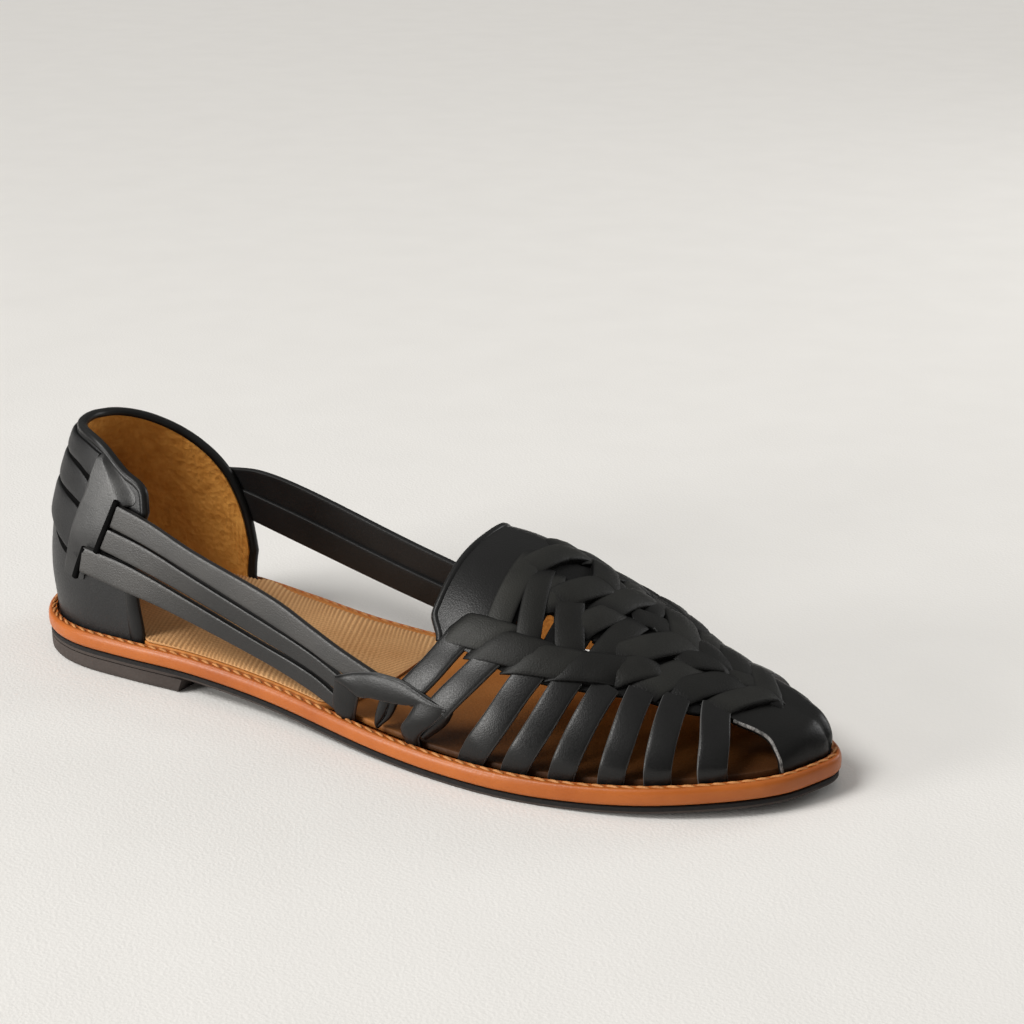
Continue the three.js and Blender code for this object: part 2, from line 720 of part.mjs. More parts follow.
// Heel counter with its collar roll, the bands round its back and the side tabs
const parts = [];
const collarRow = (side) => (side < 0 ? COLLAR_OUTER : COLLAR_INNER);
function counterGrid(lift) {
  return (u, v) => {
    const side = u < 0.5 ? -1 : 1;
    const share = Math.abs(2 * u - 1);
    const rows = collarRow(side);
    const foot = read(rows, "way", "foot", share);
    const edge = read(rows, "way", "edge", share);
    const top = read(rows, "way", "height", share);
    return corner(onCounter(side, mix(foot, edge, v * v), mix(-RECESS - 0.4, top, v), lift));
  };
}
parts.push(wall(20, 4, counterGrid(0), counterGrid(-COUNTER_WALL)));

function collarRoll() {
  const points = [];
  const outs = [];
  for (let i = 0; i <= 18; i++) {
    const u = i / 18;
    const side = u < 0.5 ? -1 : 1;
    const share = Math.abs(2 * u - 1);
    const rows = collarRow(side);
    const way = read(rows, "way", "edge", share);
    const height = read(rows, "way", "height", share);
    points.push(onCounter(side, way, height, -COUNTER_WALL / 2));
    outs.push(counterOut(side, way, height));
  }
  const down = (side) => {
    const rows = collarRow(side);
    const foot = rows[rows.length - 1];
    const list = [];
    for (let k = 1; k <= 2; k++) {
      const t = 1 - k / 2;
      const way = mix(foot.foot, foot.edge, t * t);
      const height = mix(-RECESS + 0.4, foot.height, t);
      list.push([onCounter(side, way, height, -COUNTER_WALL / 2), counterOut(side, way, height)]);
    }
    return list;
  };
  const first = down(-1).reverse();
  const last = down(1);
  const all = [...first.map((e) => e[0]), ...points, ...last.map((e) => e[0])];
  const allOuts = [...first.map((e) => e[1]), ...outs, ...last.map((e) => e[1])];
  return sweep(framed(all, allOuts, 2 * BINDING, 3.2, -1.6), [
    [-0.5, 0.4],
    [-0.25, 0.9],
    [0.25, 0.9],
    [0.5, 0.4],
    [0, 0],
  ]);
}
parts.push(collarRoll());

for (const band of HEEL_BANDS) {
  const points = [];
  const outs = [];
  const widths = [];
  const end = band.rows[band.rows.length - 1].way;
  for (let i = -6; i <= 6; i++) {
    const side = i < 0 ? -1 : 1;
    const way = (end * Math.abs(i)) / 6;
    const low = read(band.rows, "way", side < 0 ? "outerLow" : "innerLow", way);
    const high = read(band.rows, "way", side < 0 ? "outerHigh" : "innerHigh", way);
    points.push(onCounter(side, way, (low + high) / 2, 0));
    outs.push(counterOut(side, way, (low + high) / 2));
    widths.push(high - low);
  }
  parts.push(sweep(framed(points, outs, (t) => widths[Math.round(t * 12)], 1.5, -0.7), PILLOW));
}

for (const side of [-1, 1]) {
  const rows = side < 0 ? TAB_OUTER : TAB_INNER;
  const tabAt = (lift) => (u, v) => {
    const height = mix(rows[0].height, rows[rows.length - 1].height, v);
    const way = mix(read(rows, "height", "rear", height), read(rows, "height", "front", height), u);
    const fade = smooth(0, 0.25, v);
    return corner(onCounter(side, way, height, lift < 0 ? lift : mix(0.2, lift, fade)));
  };
  parts.push(wall(2, 8, tabAt(1.9), tabAt(-0.8)));
}

// Straps along the open waist
for (const strap of STRAPS) {
  const first = strap.rows[0].x;
  const last = strap.rows[strap.rows.length - 1].x;
  const points = [];
  const outs = [];
  const widths = [];
  for (let i = 0; i <= 10; i++) {
    const x = mix(first, last, i / 10);
    const low = read(strap.rows, "x", "low", x);
    const high = read(strap.rows, "x", "high", x);
    points.push(new THREE.Vector3(x, read(strap.rows, "x", "y", x), (low + high) / 2));
    outs.push(new THREE.Vector3(0, strap.side, 0.12));
    widths.push(high - low - 0.5);
  }
  const stations = framed(points, outs, (t) => widths[Math.round(t * 10)] * 0.95, STRIP, -STRIP / 2);
  parts.push(sweep(stations, FLAT));
}

// Woven wall of the vamp with its openings
const edgeWay = (x) => read(WALL_EDGE, "x", "way", x);
const vampX = (u) => mix(163, 236.5, u);
parts.push(
  wall(
    9,
    10,
    (u, v) => corner(onLast(vampX(u), mix(-1, 1, v) * edgeWay(vampX(u)), -0.2)),
    (u, v) => corner(onLast(vampX(u), mix(-1, 1, v) * edgeWay(vampX(u)), -0.2 - WALL)),
  ),
);

// Instep band with its bound rear edge
const bandWay = 0.6;
const bandRear = (way) => BAND_X + 4 * smooth(0.5, 0.6, Math.abs(way)) + 1.4 * (1 - smooth(0, 0.3, Math.abs(way)));
const bandAt = (lift) => (u, v) => {
  const way = mix(-bandWay, bandWay, v);
  return corner(onLast(mix(bandRear(way), BAND_FRONT, u), way, lift));
};
parts.push(wall(2, 14, bandAt(0.5), bandAt(-1.7)));
{
  const points = [];
  const outs = [];
  for (let i = 0; i <= 14; i++) {
    const way = mix(-bandWay, bandWay, i / 14);
    points.push(onLast(bandRear(way), way, -0.5));
    outs.push(lastOut(bandRear(way), way));
  }
  parts.push(
    sweep(framed(points, outs, 2.6, 3.0, -1.5), [
      [-0.5, 0.4],
      [-0.25, 0.9],
      [0.25, 0.9],
      [0.5, 0.4],
      [0, 0],
    ]),
  );
}

// Toe cap, with a raised rear step and crescent openings at its sides
const capEdge = (way) => read(CAP_EDGE, "way", "x", Math.abs(way));
const capAt = (lift) => (u, v) => {
  const way = mix(-1.08, 1.08, v);
  const rear = capEdge(Math.min(Math.abs(way), 1));
  const x = mix(rear, 251.3, 1 - (1 - u) ** 1.7);
  return corner(onLast(x, way, lift));
};
parts.push(wall(6, 18, capAt(0.2), capAt(-1.6)));

// Strips of the forefoot, each laid on the last
function laidStrip(points, width, thick, sink, section) {
  const centres = points.map((p) => lastPoint(p.x, p.way));
  const outs = points.map((p) => lastOut(p.x, p.way));
  return sweep(framed(centres, outs, width, thick, sink), section);
}

function threeWay(row, side, count) {
  const rows = [
    { t: 0, x: row.topX, way: row.top },
    { t: 0.5, x: row.middleX, way: row.middle },
    { t: 1, x: row.footX, way: row.foot },
  ];
  const list = [];
  for (let i = 0; i <= count; i++) {
    const t = i / count;
    list.push({ x: read(rows, "t", "x", t), way: side * read(rows, "t", "way", t) });
  }
  return list;
}

for (const side of [-1, 1]) {
  for (const row of SIDE_STRIPS) {
    const path = threeWay(row, side, 4);
    path.push({ x: row.footX, way: side * (row.foot + 0.06) });
    const sink = (t) => -STRIP + 0.9 * (1 - smooth(0.75, 1, t));
    parts.push(laidStrip(path, (t) => row.width, STRIP, sink, FLAT));
  }
  for (const row of SHORT_STRIPS) {
    const path = threeWay(row, side, 4);
    parts.push(laidStrip(path, row.width, STRIP, (t) => -1.0 + 0.6 * t, FLAT));
  }
  const tiles = [...WEAVE, ...BRAID];
  for (const tile of tiles) {
    const path = [];
    const steps = tile.width > 8.9 ? 4 : 3;
    for (let i = 0; i <= steps; i++) {
      const t = i / steps;
      path.push({ x: mix(tile.fromX, tile.toX, t), way: side * mix(tile.from, tile.to, t) });
    }
    const ends = (t) => 1 - Math.abs(2 * t - 1) ** 3;
    parts.push(
      laidStrip(
        path,
        (t) => tile.width * (0.86 + 0.14 * ends(t)),
        (t) => 1.2 + tile.lift * (0.35 + 0.65 * ends(t)),
        -0.8,
        PILLOW,
      ),
    );
  }
}
for (const tile of WEAVE_RIDGE) {
  const path = [];
  for (let i = 0; i <= 3; i++)
    path.push({ x: mix(tile.fromX, tile.toX, i / 3), way: -mix(tile.from, tile.to, i / 3) });
  const ends = (t) => 1 - Math.abs(2 * t - 1) ** 3;
  parts.push(
    laidStrip(
      path,
      (t) => tile.width * (0.86 + 0.14 * ends(t)),
      (t) => 1.2 + tile.lift * (0.35 + 0.65 * ends(t)),
      -0.8,
      PILLOW,
    ),
  );
}

// Keepers: the outer one as it shows, the inner one a plain wrap
function ribbon(rows, down) {
  const numbered = rows.map((row, i) => ({ ...row, share: i / (rows.length - 1) }));
  const edge = (name, v) =>
    new THREE.Vector3(...["X", "Y", "Z"].map((axis) => read(numbered, "share", name + axis, v)));
  const face = (u, v) => edge("left", v).lerp(edge("right", v), u);
  const lifted = (lift) => (u, v) => {
    const across = face(1, v).sub(face(0, v));
    const run = face(u, Math.min(v + 0.02, 1)).sub(face(u, Math.max(v - 0.02, 0)));
    const out = new THREE.Vector3().crossVectors(across, run).normalize();
    if (out.y > 0) out.negate();
    return corner(face(u, v).addScaledVector(out, lift + 1.6 * u * (1 - u)));
  };
  return wall(2, down, lifted(0), lifted(-STRIP));
}
for (const turn of KEEPER) parts.push(ribbon(turn.rows, 2 * turn.rows.length));
{
  const points = INNER_KEEPER.map((r) => new THREE.Vector3(r.x, r.y, r.z));
  const outs = points.map(() => new THREE.Vector3(0, 1, 0.2));
  parts.push(sweep(framed(points, outs, 8.0, 3.6, -2.4), FLAT));
}

// The feet of the upper stand just over the floor of the midsole's recess and clear of its rim.
const underWelt = layer([
  { inset: -15, height: () => -30 },
  { inset: -15, height: (x) => weltTop(Math.min(Math.max(x, -1), 254)) + GAP },
]);
const footwell = layer([
  { inset: WELT + GAP, height: (x) => recessFloor(x) + GAP },
  { inset: WELT + GAP, height: (x) => weltTop(x) + 5 },
]);
const joined = Manifold.union(parts);
const insoleRoom = layer([
  { inset: (x, side) => insoleInset(x, side) - GAP, height: (x) => recessFloor(x) + 1.4 - GAP },
  { inset: (x, side) => insoleInset(x, side) - GAP, height: (x) => weltTop(x) + 0.4 + GAP },
]);
const sockRoom = layer([
  { inset: (x, side) => insoleInset(x, side) + 0.6, height: (x) => weltTop(x) },
  { inset: (x, side) => insoleInset(x, side) + 0.6, height: (x) => weltTop(x) + 1.5 + GAP },
]).subtract(frontCut);
let upper = joined.subtract(underWelt.subtract(footwell)).subtract(insoleRoom).subtract(sockRoom);
upper = upper.decompose().sort((a, b) => b.volume() - a.volume())[0];

for (const side of [-1, 1])
  for (const hole of OPENINGS) {
    const cut = wall(
      1,
      1,
      (u, v) => corner(onLast(hole.x + (u - 0.5) * hole.along, side * (hole.way + ((v - 0.5) * hole.across) / 55), 4)),
      (u, v) => corner(onLast(hole.x + (u - 0.5) * hole.along, side * (hole.way + ((v - 0.5) * hole.across) / 55), -5)),
    );
    upper = upper.subtract(cut);
  }

// The group's middle sits over the origin and its lowest face on the floor.
const root = new THREE.Group();
root.name = "huarache_sandal";

function addPiece(name, made, colour, roughness) {
  const mesh = made.getMesh();
  const count = mesh.numProp;
  const positions = new Float32Array(mesh.numVert * 3);
  for (let i = 0; i < mesh.numVert; i++)
    positions.set(mesh.vertProperties.subarray(i * count, i * count + 3), i * 3);
  const geometry = new THREE.BufferGeometry();
  geometry.setAttribute("position", new THREE.BufferAttribute(positions, 3));
  geometry.setIndex(new THREE.BufferAttribute(new Uint32Array(mesh.triVerts), 1));
  geometry.computeVertexNormals();
  const material = new THREE.MeshStandardMaterial({ color: colour, roughness, metalness: 0, flatShading: true });
  const piece = new THREE.Mesh(geometry, material);
  piece.name = name;
  root.add(piece);
}

addPiece("heel", heel, 0x5f5550, 0.8);
addPiece("outsole", outsole, 0x463c3a, 0.8);
addPiece("midsole", midsole, 0xcd7d41, 0.5);
addPiece("insole", insole, 0xb4703a, 0.5);
addPiece("sock", sock, 0xc99a6a, 0.8);
addPiece("upper", upper.simplify(SMALLEST_STEP), 0x2f2f30, 0.5);

const box = new THREE.Box3().setFromObject(root);
root.position.set(-(box.min.x + box.max.x) / 2, -(box.min.y + box.max.y) / 2, -box.min.z);

export default root;
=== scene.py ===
import bpy
import numpy as np
from mathutils import Matrix, Vector


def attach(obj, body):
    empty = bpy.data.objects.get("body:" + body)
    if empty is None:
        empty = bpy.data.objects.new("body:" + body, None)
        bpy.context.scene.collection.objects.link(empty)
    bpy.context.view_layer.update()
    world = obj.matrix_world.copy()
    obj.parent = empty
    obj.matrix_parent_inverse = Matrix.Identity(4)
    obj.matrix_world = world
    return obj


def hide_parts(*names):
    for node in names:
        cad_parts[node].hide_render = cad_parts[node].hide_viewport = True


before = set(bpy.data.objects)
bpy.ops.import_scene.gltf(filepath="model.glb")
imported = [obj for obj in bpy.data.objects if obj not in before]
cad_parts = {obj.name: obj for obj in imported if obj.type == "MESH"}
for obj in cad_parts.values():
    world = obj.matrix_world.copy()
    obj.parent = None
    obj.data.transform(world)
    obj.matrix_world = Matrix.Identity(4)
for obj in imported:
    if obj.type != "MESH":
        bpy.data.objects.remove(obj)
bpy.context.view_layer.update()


# Midsole. One thickness of tan vegetable-tanned leather cut to the outline of the foot.
# Its rim stands out round the upper as a welt, burnished smooth and rounded at the side.
PLAN = {
    "x": [-1.6, 3, 12, 25, 45, 70, 100, 140, 170, 190, 215, 235, 247, 252.5, 254.5],
    "inner": [0, 15.7, 25, 30.6, 32.7, 28.8, 25.4, 28.6, 37.2, 39.4, 34.3, 23.4, 13.4, 7.4, 1.6],
    "outer": [0, -16, -25.4, -30.6, -32, -32.2, -34.8, -42.3, -45.6, -44.2, -38.2, -27.6, -16.6, -5.8, 1.6],
}
OUTSOLE = 2.4
HEEL_LIFT = 4.8
TOE_SPRING = 3.0
MIDSOLE = 4.8
RECESS = 2.6
WELT = 2.6
GAP = 0.3
EDGE_POINTS = 360
MIDDLE = np.array([126.45, -3.16, 0.0])


def read(rows, key, column, at):
    """Smooth curve through a table's column.
    Each span eases between its ends with the slopes of its neighbours."""
    keys = np.array(rows[key], float)
    values = np.array(rows[column], float)
    at = np.asarray(at, float)
    last = len(keys) - 1
    before = np.maximum(np.arange(last + 1) - 1, 0)
    after = np.minimum(np.arange(last + 1) + 1, last)
    slopes = (values[after] - values[before]) / (keys[after] - keys[before])
    i = np.searchsorted(keys[1:-1], at, side="left")
    span = keys[i + 1] - keys[i]
    t = np.clip((at - keys[i]) / span, 0, 1)
    ease = t * t * (3 - 2 * t)
    rise = t * (1 - t) * ((1 - t) * slopes[i] - t * slopes[i + 1]) * span
    return values[i] + (values[i + 1] - values[i]) * ease + rise


def smooth(start, end, at):
    """0 before start, 1 after end, and an S-shaped rise between them."""
    t = np.clip((np.asarray(at, float) - start) / (end - start), 0, 1)
    return t * t * (3 - 2 * t)


def sole_plane(x):
    """Height of the midsole's underside: the heel's lift runs out at the waist, the toe springs up."""
    return OUTSOLE + HEEL_LIFT * (1 - smooth(55, 160, x)) + TOE_SPRING * smooth(185, 255, x)


def welt_top(x):
    """Height of the midsole's upper face."""
    return sole_plane(x) + MIDSOLE


def recess_floor(x):
    """Height of the floor of the midsole's recess, which the upper and the insole stand in."""
    return welt_top(x) - RECESS


def sole_edge():
    """The outline as one turn: x follows the cosine of the turn, y the table of its side."""
    heel, toe = PLAN["x"][0], PLAN["x"][-1]
    turns = np.arccos(1 - 2 * (np.array(PLAN["x"]) - heel) / (toe - heel))
    rows = {"turn": turns, "inner": PLAN["inner"], "outer": PLAN["outer"]}
    turn = np.pi * np.arange(2 * EDGE_POINTS) / EDGE_POINTS
    folded = np.where(turn <= np.pi, turn, 2 * np.pi - turn)
    x = heel + (toe - heel) * (1 - np.cos(folded)) / 2
    y = np.where(turn <= np.pi, read(rows, "turn", "inner", folded), read(rows, "turn", "outer", folded))
    return np.stack([x, y], -1)


EDGE = sole_edge()


def moved_in(inset):
    """The outline moved inwards, square to itself, by one distance or by a function of station and side."""
    run = np.roll(EDGE, -2, 0) - np.roll(EDGE, 2, 0)
    run /= np.linalg.norm(run, axis=1, keepdims=True)
    if callable(inset):
        inset = inset(EDGE[:, 0], np.where(EDGE[:, 1] > 1, 1, -1))[:, None]
    return EDGE + np.stack([run[:, 1], -run[:, 0]], -1) * inset


def ring(inset, height):
    """The moved outline, each point at the height that belongs to its station."""
    flat = moved_in(inset)
    return np.column_stack([flat, height(flat[:, 0])])


def tube_faces(rows, count):
    """Faces of a tube of rings: quads along its sides, then bars across its first and its last ring."""
    index = np.arange(rows * count).reshape(rows, count)
    turned = np.roll(index, -1, 1)
    sides = np.stack([index[:-1], index[1:], turned[1:], turned[:-1]], -1).reshape(-1, 4)
    near = np.arange(count // 2 - 1)
    bars = np.stack([near, near + 1, count - near - 2, count - near - 1], -1)
    return np.concatenate([sides, index[0][bars], index[-1][bars][:, ::-1]])


def ring_stack(levels):
    """Rings from the lowest to the highest, closed underneath and on top by bars across the shoe."""
    rings = np.stack([ring(inset, height) for inset, height in levels])
    faces = tube_faces(*rings.shape[:2])
    return rings.reshape(-1, 3), faces[:, [1, 2, 3, 0]]  # the first corner sets which way a quad folds


def above(face, rise):
    """A height over one of the sole's faces, as a function of station."""
    return lambda x: face(x) + rise


def new_piece(name, meshes, material, sharp=40, attributes=None, stands_for=()):
    """Joins (points, faces) pairs into one object at the origin that rides on the shoe."""
    offset = np.cumsum([0] + [len(points) for points, _ in meshes[:-1]])
    points = (np.concatenate([points for points, _ in meshes]) - MIDDLE) / 1000
    faces = np.concatenate([faces + start for (_, faces), start in zip(meshes, offset)])
    mesh = bpy.data.meshes.new(name)
    mesh.from_pydata(points.tolist(), [], faces.tolist())
    for label, values in (attributes or {}).items():
        layer = mesh.attributes.new(label, "FLOAT", "POINT")
        layer.data.foreach_set("value", np.asarray(values, np.float32))
    mesh.shade_smooth()
    mesh.set_sharp_from_angle(angle=np.radians(sharp))
    mesh.materials.append(material)
    piece = bpy.data.objects.new(name, mesh)
    bpy.context.scene.collection.objects.link(piece)
    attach(piece, "root")
    if stands_for:
        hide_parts(*stands_for)
    return piece


def new_group(name, inputs, outputs):
    """An empty shader group with named float inputs and the outputs given by their socket types."""
    group = bpy.data.node_groups.new(name, "ShaderNodeTree")
    for label, value in inputs.items():
        socket = group.interface.new_socket(label, in_out="INPUT", socket_type="NodeSocketFloat")
        socket.default_value = value
    for label, kind in outputs.items():
        group.interface.new_socket(label, in_out="OUTPUT", socket_type=kind)
    return group, group.nodes.new("NodeGroupInput"), group.nodes.new("NodeGroupOutput")


def leather_grain():
    """Fine leather grain: small cells over a fine speckle as a normal, and two masks, fine and broad."""
    group, inward, outward = new_group(
        "leather grain",
        {"Cells": 900.0, "Depth": 0.25, "Mottle": 60.0},
        {"Normal": "NodeSocketVector", "Speckle": "NodeSocketFloat", "Mottling": "NodeSocketFloat"},
    )
    nodes, links = group.nodes, group.links
    place = nodes.new("ShaderNodeTexCoord")
    cells = nodes.new("ShaderNodeTexVoronoi")
    cells.feature = "F1"
    links.new(place.outputs["Object"], cells.inputs["Vector"])
    links.new(inward.outputs["Cells"], cells.inputs["Scale"])
    mottle = nodes.new("ShaderNodeTexNoise")
    mottle.inputs["Detail"].default_value = 5.0
    links.new(place.outputs["Object"], mottle.inputs["Vector"])
    links.new(inward.outputs["Mottle"], mottle.inputs["Scale"])
    height = nodes.new("ShaderNodeMath")
    height.operation = "MULTIPLY_ADD"
    height.inputs[1].default_value = 0.7
    links.new(cells.outputs["Distance"], height.inputs[0])
    bump = nodes.new("ShaderNodeBump")
    bump.inputs["Distance"].default_value = 0.0004
    links.new(inward.outputs["Depth"], bump.inputs["Strength"])
    links.new(height.outputs[0], bump.inputs["Height"])
    links.new(bump.outputs["Normal"], outward.inputs["Normal"])
    speckle = nodes.new("ShaderNodeTexNoise")
    speckle.inputs["Detail"].default_value = 2.0
    links.new(place.outputs["Object"], speckle.inputs["Vector"])
    links.new(inward.outputs["Cells"], speckle.inputs["Scale"])
    links.new(speckle.outputs["Fac"], outward.inputs["Speckle"])
    links.new(speckle.outputs["Fac"], height.inputs[2])
    links.new(mottle.outputs["Fac"], outward.inputs["Mottling"])
    return group


GRAIN = leather_grain()


def grey(tone):
    """A neutral colour of equal red, green and blue."""
    return tone, tone, tone


def leather(name, dark, light, roughness, cells, depth, mottle, gloss=0.5):
    """Dyed leather: two tones mixed by the mottling, the grain as its normal, and a speckled gloss."""
    material = bpy.data.materials.new(name)
    material.use_nodes = True
    nodes, links = material.node_tree.nodes, material.node_tree.links
    shader = nodes["Principled BSDF"]
    shader.inputs["Specular IOR Level"].default_value = gloss
    grain = nodes.new("ShaderNodeGroup")
    grain.node_tree = GRAIN
    grain.inputs["Cells"].default_value = cells
    grain.inputs["Depth"].default_value = depth
    grain.inputs["Mottle"].default_value = mottle
    tones = nodes.new("ShaderNodeValToRGB")
    tones.color_ramp.elements[0].position = 0.3
    tones.color_ramp.elements[0].color = (*dark, 1)
    tones.color_ramp.elements[1].position = 0.7
    tones.color_ramp.elements[1].color = (*light, 1)
    links.new(grain.outputs["Mottling"], tones.inputs["Fac"])
    links.new(tones.outputs["Color"], shader.inputs["Base Color"])
    rough = nodes.new("ShaderNodeMapRange")
    rough.inputs["From Min"].default_value = 0.35
    rough.inputs["From Max"].default_value = 0.65
    rough.inputs["To Min"].default_value = roughness - 0.04
    rough.inputs["To Max"].default_value = roughness + 0.06
    links.new(grain.outputs["Speckle"], rough.inputs["Value"])
    links.new(rough.outputs["Result"], shader.inputs["Roughness"])
    links.new(grain.outputs["Normal"], shader.inputs["Normal"])
    return material


welt_leather = leather(
    "tan welt leather", (0.36, 0.085, 0.010), (0.45, 0.122, 0.018), 0.38, 1400, 0.08, 60, 0.4
)
RIM_SIDE = [(1.1, 0), (0.45, 0.18), (0.1, 0.7), (0, 1.5), (0, 2.9), (0.08, 3.6), (0.3, 4.2), (0.65, 4.6)]
STITCH_CHANNEL = [(1.1, 0), (1.35, -0.1), (1.6, -0.3), (2.1, -0.3), (2.35, -0.1), (2.6, 0)]
midsole_rings = [(inset, above(sole_plane, rise)) for inset, rise in RIM_SIDE]
midsole_rings += [(inset, above(welt_top, rise)) for inset, rise in STITCH_CHANNEL]
midsole_rings.append((WELT + 0.02, recess_floor))
new_piece("midsole", [ring_stack(midsole_rings)], welt_leather, 50, stands_for=["midsole"])


# Outsole and heel. Thin dark rubber cemented under the leather, with a low stacked block
# under the heel whose front face slopes; both are ground flush and slightly dull.
BREAST_X = 63.3
BREAST_SLOPE = 0.4
HEEL_STEPS = 120
HEEL_LEVELS = [0.0, 0.25, 0.8, 1.6, 2.6, 3.8, 4.5]
HEEL_INSETS = [1.6, 0.9, 0.55, 0.5, 0.5, 0.5, 0.5]


def rubber(name, dark, light):
    """Dull dark rubber, its tone mottled by dust, with a fine ground surface."""
    return leather(name, dark, light, 0.72, 700, 0.2, 40, gloss=0.35)


def shade_by(attribute, material, tone):
    """Multiplies the material's tone by another one where the piece's attribute is 1."""
    nodes, links = material.node_tree.nodes, material.node_tree.links
    base = nodes["Principled BSDF"].inputs["Base Color"]
    measure = nodes.new("ShaderNodeAttribute")
    measure.attribute_name = attribute
    shade = nodes.new("ShaderNodeMix")
    shade.data_type = "RGBA"
    shade.blend_type = "MULTIPLY"
    shade.inputs["B"].default_value = (*tone, 1)
    links.new(measure.outputs["Fac"], shade.inputs["Factor"])
    links.new(base.links[0].from_socket, shade.inputs["A"])
    links.new(shade.outputs["Result"], base)


sole_rubber = rubber("outsole rubber", (0.036, 0.026, 0.022), (0.055, 0.042, 0.036))
outsole_rings = [
    (lambda x, side: 0.52 + smooth(60, 68, x), above(sole_plane, -OUTSOLE)),
    (lambda x, side: 0.5 + 0.3 * smooth(60, 68, x), above(sole_plane, 0.15 - OUTSOLE)),
    (0.5, above(sole_plane, 0.6 - OUTSOLE)),
    (0.5, above(sole_plane, -1.55)),
    (0.5, above(sole_plane, -1.5)),
    (0.5, above(sole_plane, -0.55)),
    (0.75, above(sole_plane, -0.35)),
    (1.1, above(sole_plane, -GAP)),
]
outsole_band = np.repeat([0, 0, 0, 0, 1, 1, 1, 1], 2 * EDGE_POINTS)
shade_by("band", sole_rubber, (0.12, 0.13, 0.15))
new_piece(
    "outsole",
    [ring_stack(outsole_rings)],
    sole_rubber,
    50,
    attributes={"band": outsole_band},
    stands_for=["outsole"],
)

heel_rubber = rubber("heel rubber", (0.036, 0.027, 0.023), (0.060, 0.047, 0.041))


def heel_block():
    """The rear of the outline carried from the floor up to the outsole, cut by the sloped breast."""
    top = sole_plane(BREAST_X) - OUTSOLE - GAP
    rings = []
    for height, inset in zip(HEEL_LEVELS, HEEL_INSETS):
        flat = moved_in(inset)
        breast = BREAST_X + BREAST_SLOPE * height
        back = flat[:, 0] <= breast
        inner = flat[:EDGE_POINTS][back[:EDGE_POINTS]]
        outer = flat[EDGE_POINTS:][back[EDGE_POINTS:]]
        chain = np.concatenate([outer, inner])
        reach = np.concatenate([[0], np.cumsum(np.linalg.norm(np.diff(chain, axis=0), axis=1))])
        at = np.linspace(0, reach[-1], HEEL_STEPS)
        chain = np.stack([np.interp(at, reach, chain[:, 0]), np.interp(at, reach, chain[:, 1])], -1)
        chain[0, 0] = breast
        chain[-1, 0] = breast
        z = np.full(HEEL_STEPS, height)
        if height > top:
            z = np.minimum(height, sole_plane(chain[:, 0]) - OUTSOLE - GAP)
        rings.append(np.column_stack([chain, z]))
    rings = np.stack(rings)
    faces = tube_faces(*rings.shape[:2])
    return rings.reshape(-1, 3), faces[:, [0, 3, 2, 1]]  # turned round, as the chain runs the other way


new_piece("heel", [heel_block()], heel_rubber, 40, stands_for=["heel"])


# Welt stitching. Waxed tan thread sewn through the welt all round in short slanted stitches,
# each standing a little proud of the channel and dipping into its holes.
STITCH_PITCH = 3.9
STITCH_LENGTH = 4.2
STITCH_LEAN = -0.27
STITCH_INSET = 1.85


def loft(centres, sides, outs, widths, heights, section):
    """A section (across, up) carried along centres, scaled by width and height, closed at both ends."""
    points = (
        centres[:, None]
        + sides[:, None] * (section[None, :, :1] * widths[:, None, None])
        + outs[:, None] * (section[None, :, 1:] * heights[:, None, None])
    )
    return points.reshape(-1, 3), tube_faces(*points.shape[:2])


def round_section(count):
    """A circle of unit width and height, as across and up."""
    turn = 2 * np.pi * np.arange(count) / count
    return np.stack([np.cos(turn), np.sin(turn)], -1) / 2


def chain_at(points, spacing):
    """Points and running directions at an even spacing round a closed outline."""
    closed = np.concatenate([points, points[:1]])
    reach = np.concatenate([[0], np.cumsum(np.linalg.norm(np.diff(closed, axis=0), axis=1))])
    count = int(round(reach[-1] / spacing))
    at = np.arange(count) * reach[-1] / count
    ahead = (at + 1) % reach[-1]
    place = np.stack([np.interp(at, reach, column) for column in closed.T], -1)
    run = np.stack([np.interp(ahead, reach, column) for column in closed.T], -1) - place
    return place, run / np.linalg.norm(run, axis=1, keepdims=True)


def welt_stitches():
    """A spindle for each stitch, turned a little off the seam's run and sunk at both ends."""
    seam = ring(STITCH_INSET, above(welt_top, -0.2))
    places, runs = chain_at(seam, STITCH_PITCH)
    up = np.array([0.0, 0.0, 1.0])
    along = np.linspace(-0.5, 0.5, 7)
    bulge = np.sqrt(np.clip(1 - (2 * along) ** 2, 0.02, 1))
    ups = np.tile(up, (len(along), 1))
    stitches = []
    for place, run in zip(places, runs):
        side = np.cross(up, run)
        lean = run * np.cos(STITCH_LEAN) + side * np.sin(STITCH_LEAN)
        across = np.tile(np.cross(up, lean), (len(along), 1))
        centres = place + lean * (along[:, None] * STITCH_LENGTH) + up * (0.34 * bulge[:, None] - 0.16)
        stitches.append(loft(centres, across, ups, 0.95 * bulge, 0.8 * bulge, round_section(8)))
    return stitches


thread = leather("waxed tan thread", (0.38, 0.145, 0.04), (0.58, 0.26, 0.09), 0.55, 2500, 0.3, 400, 0.3)
new_piece("welt_stitches", welt_stitches(), thread, 60)


# Insole. Smooth orange-brown leather over the whole length, laid in the midsole's recess.
# It shows ahead of the sock and, through the straps, along the open waist.
def insole_inset(x, side):
    """Close to the welt along the open waist, inside the upper's wall elsewhere."""
    inner = smooth(51, 56, x) * (1 - smooth(142, 147, x))
    outer = smooth(47, 52, x) * (1 - smooth(114, 119, x))
    waist = np.where(side > 0, inner, outer)
    return WELT + 2.8 - 2.5 * waist


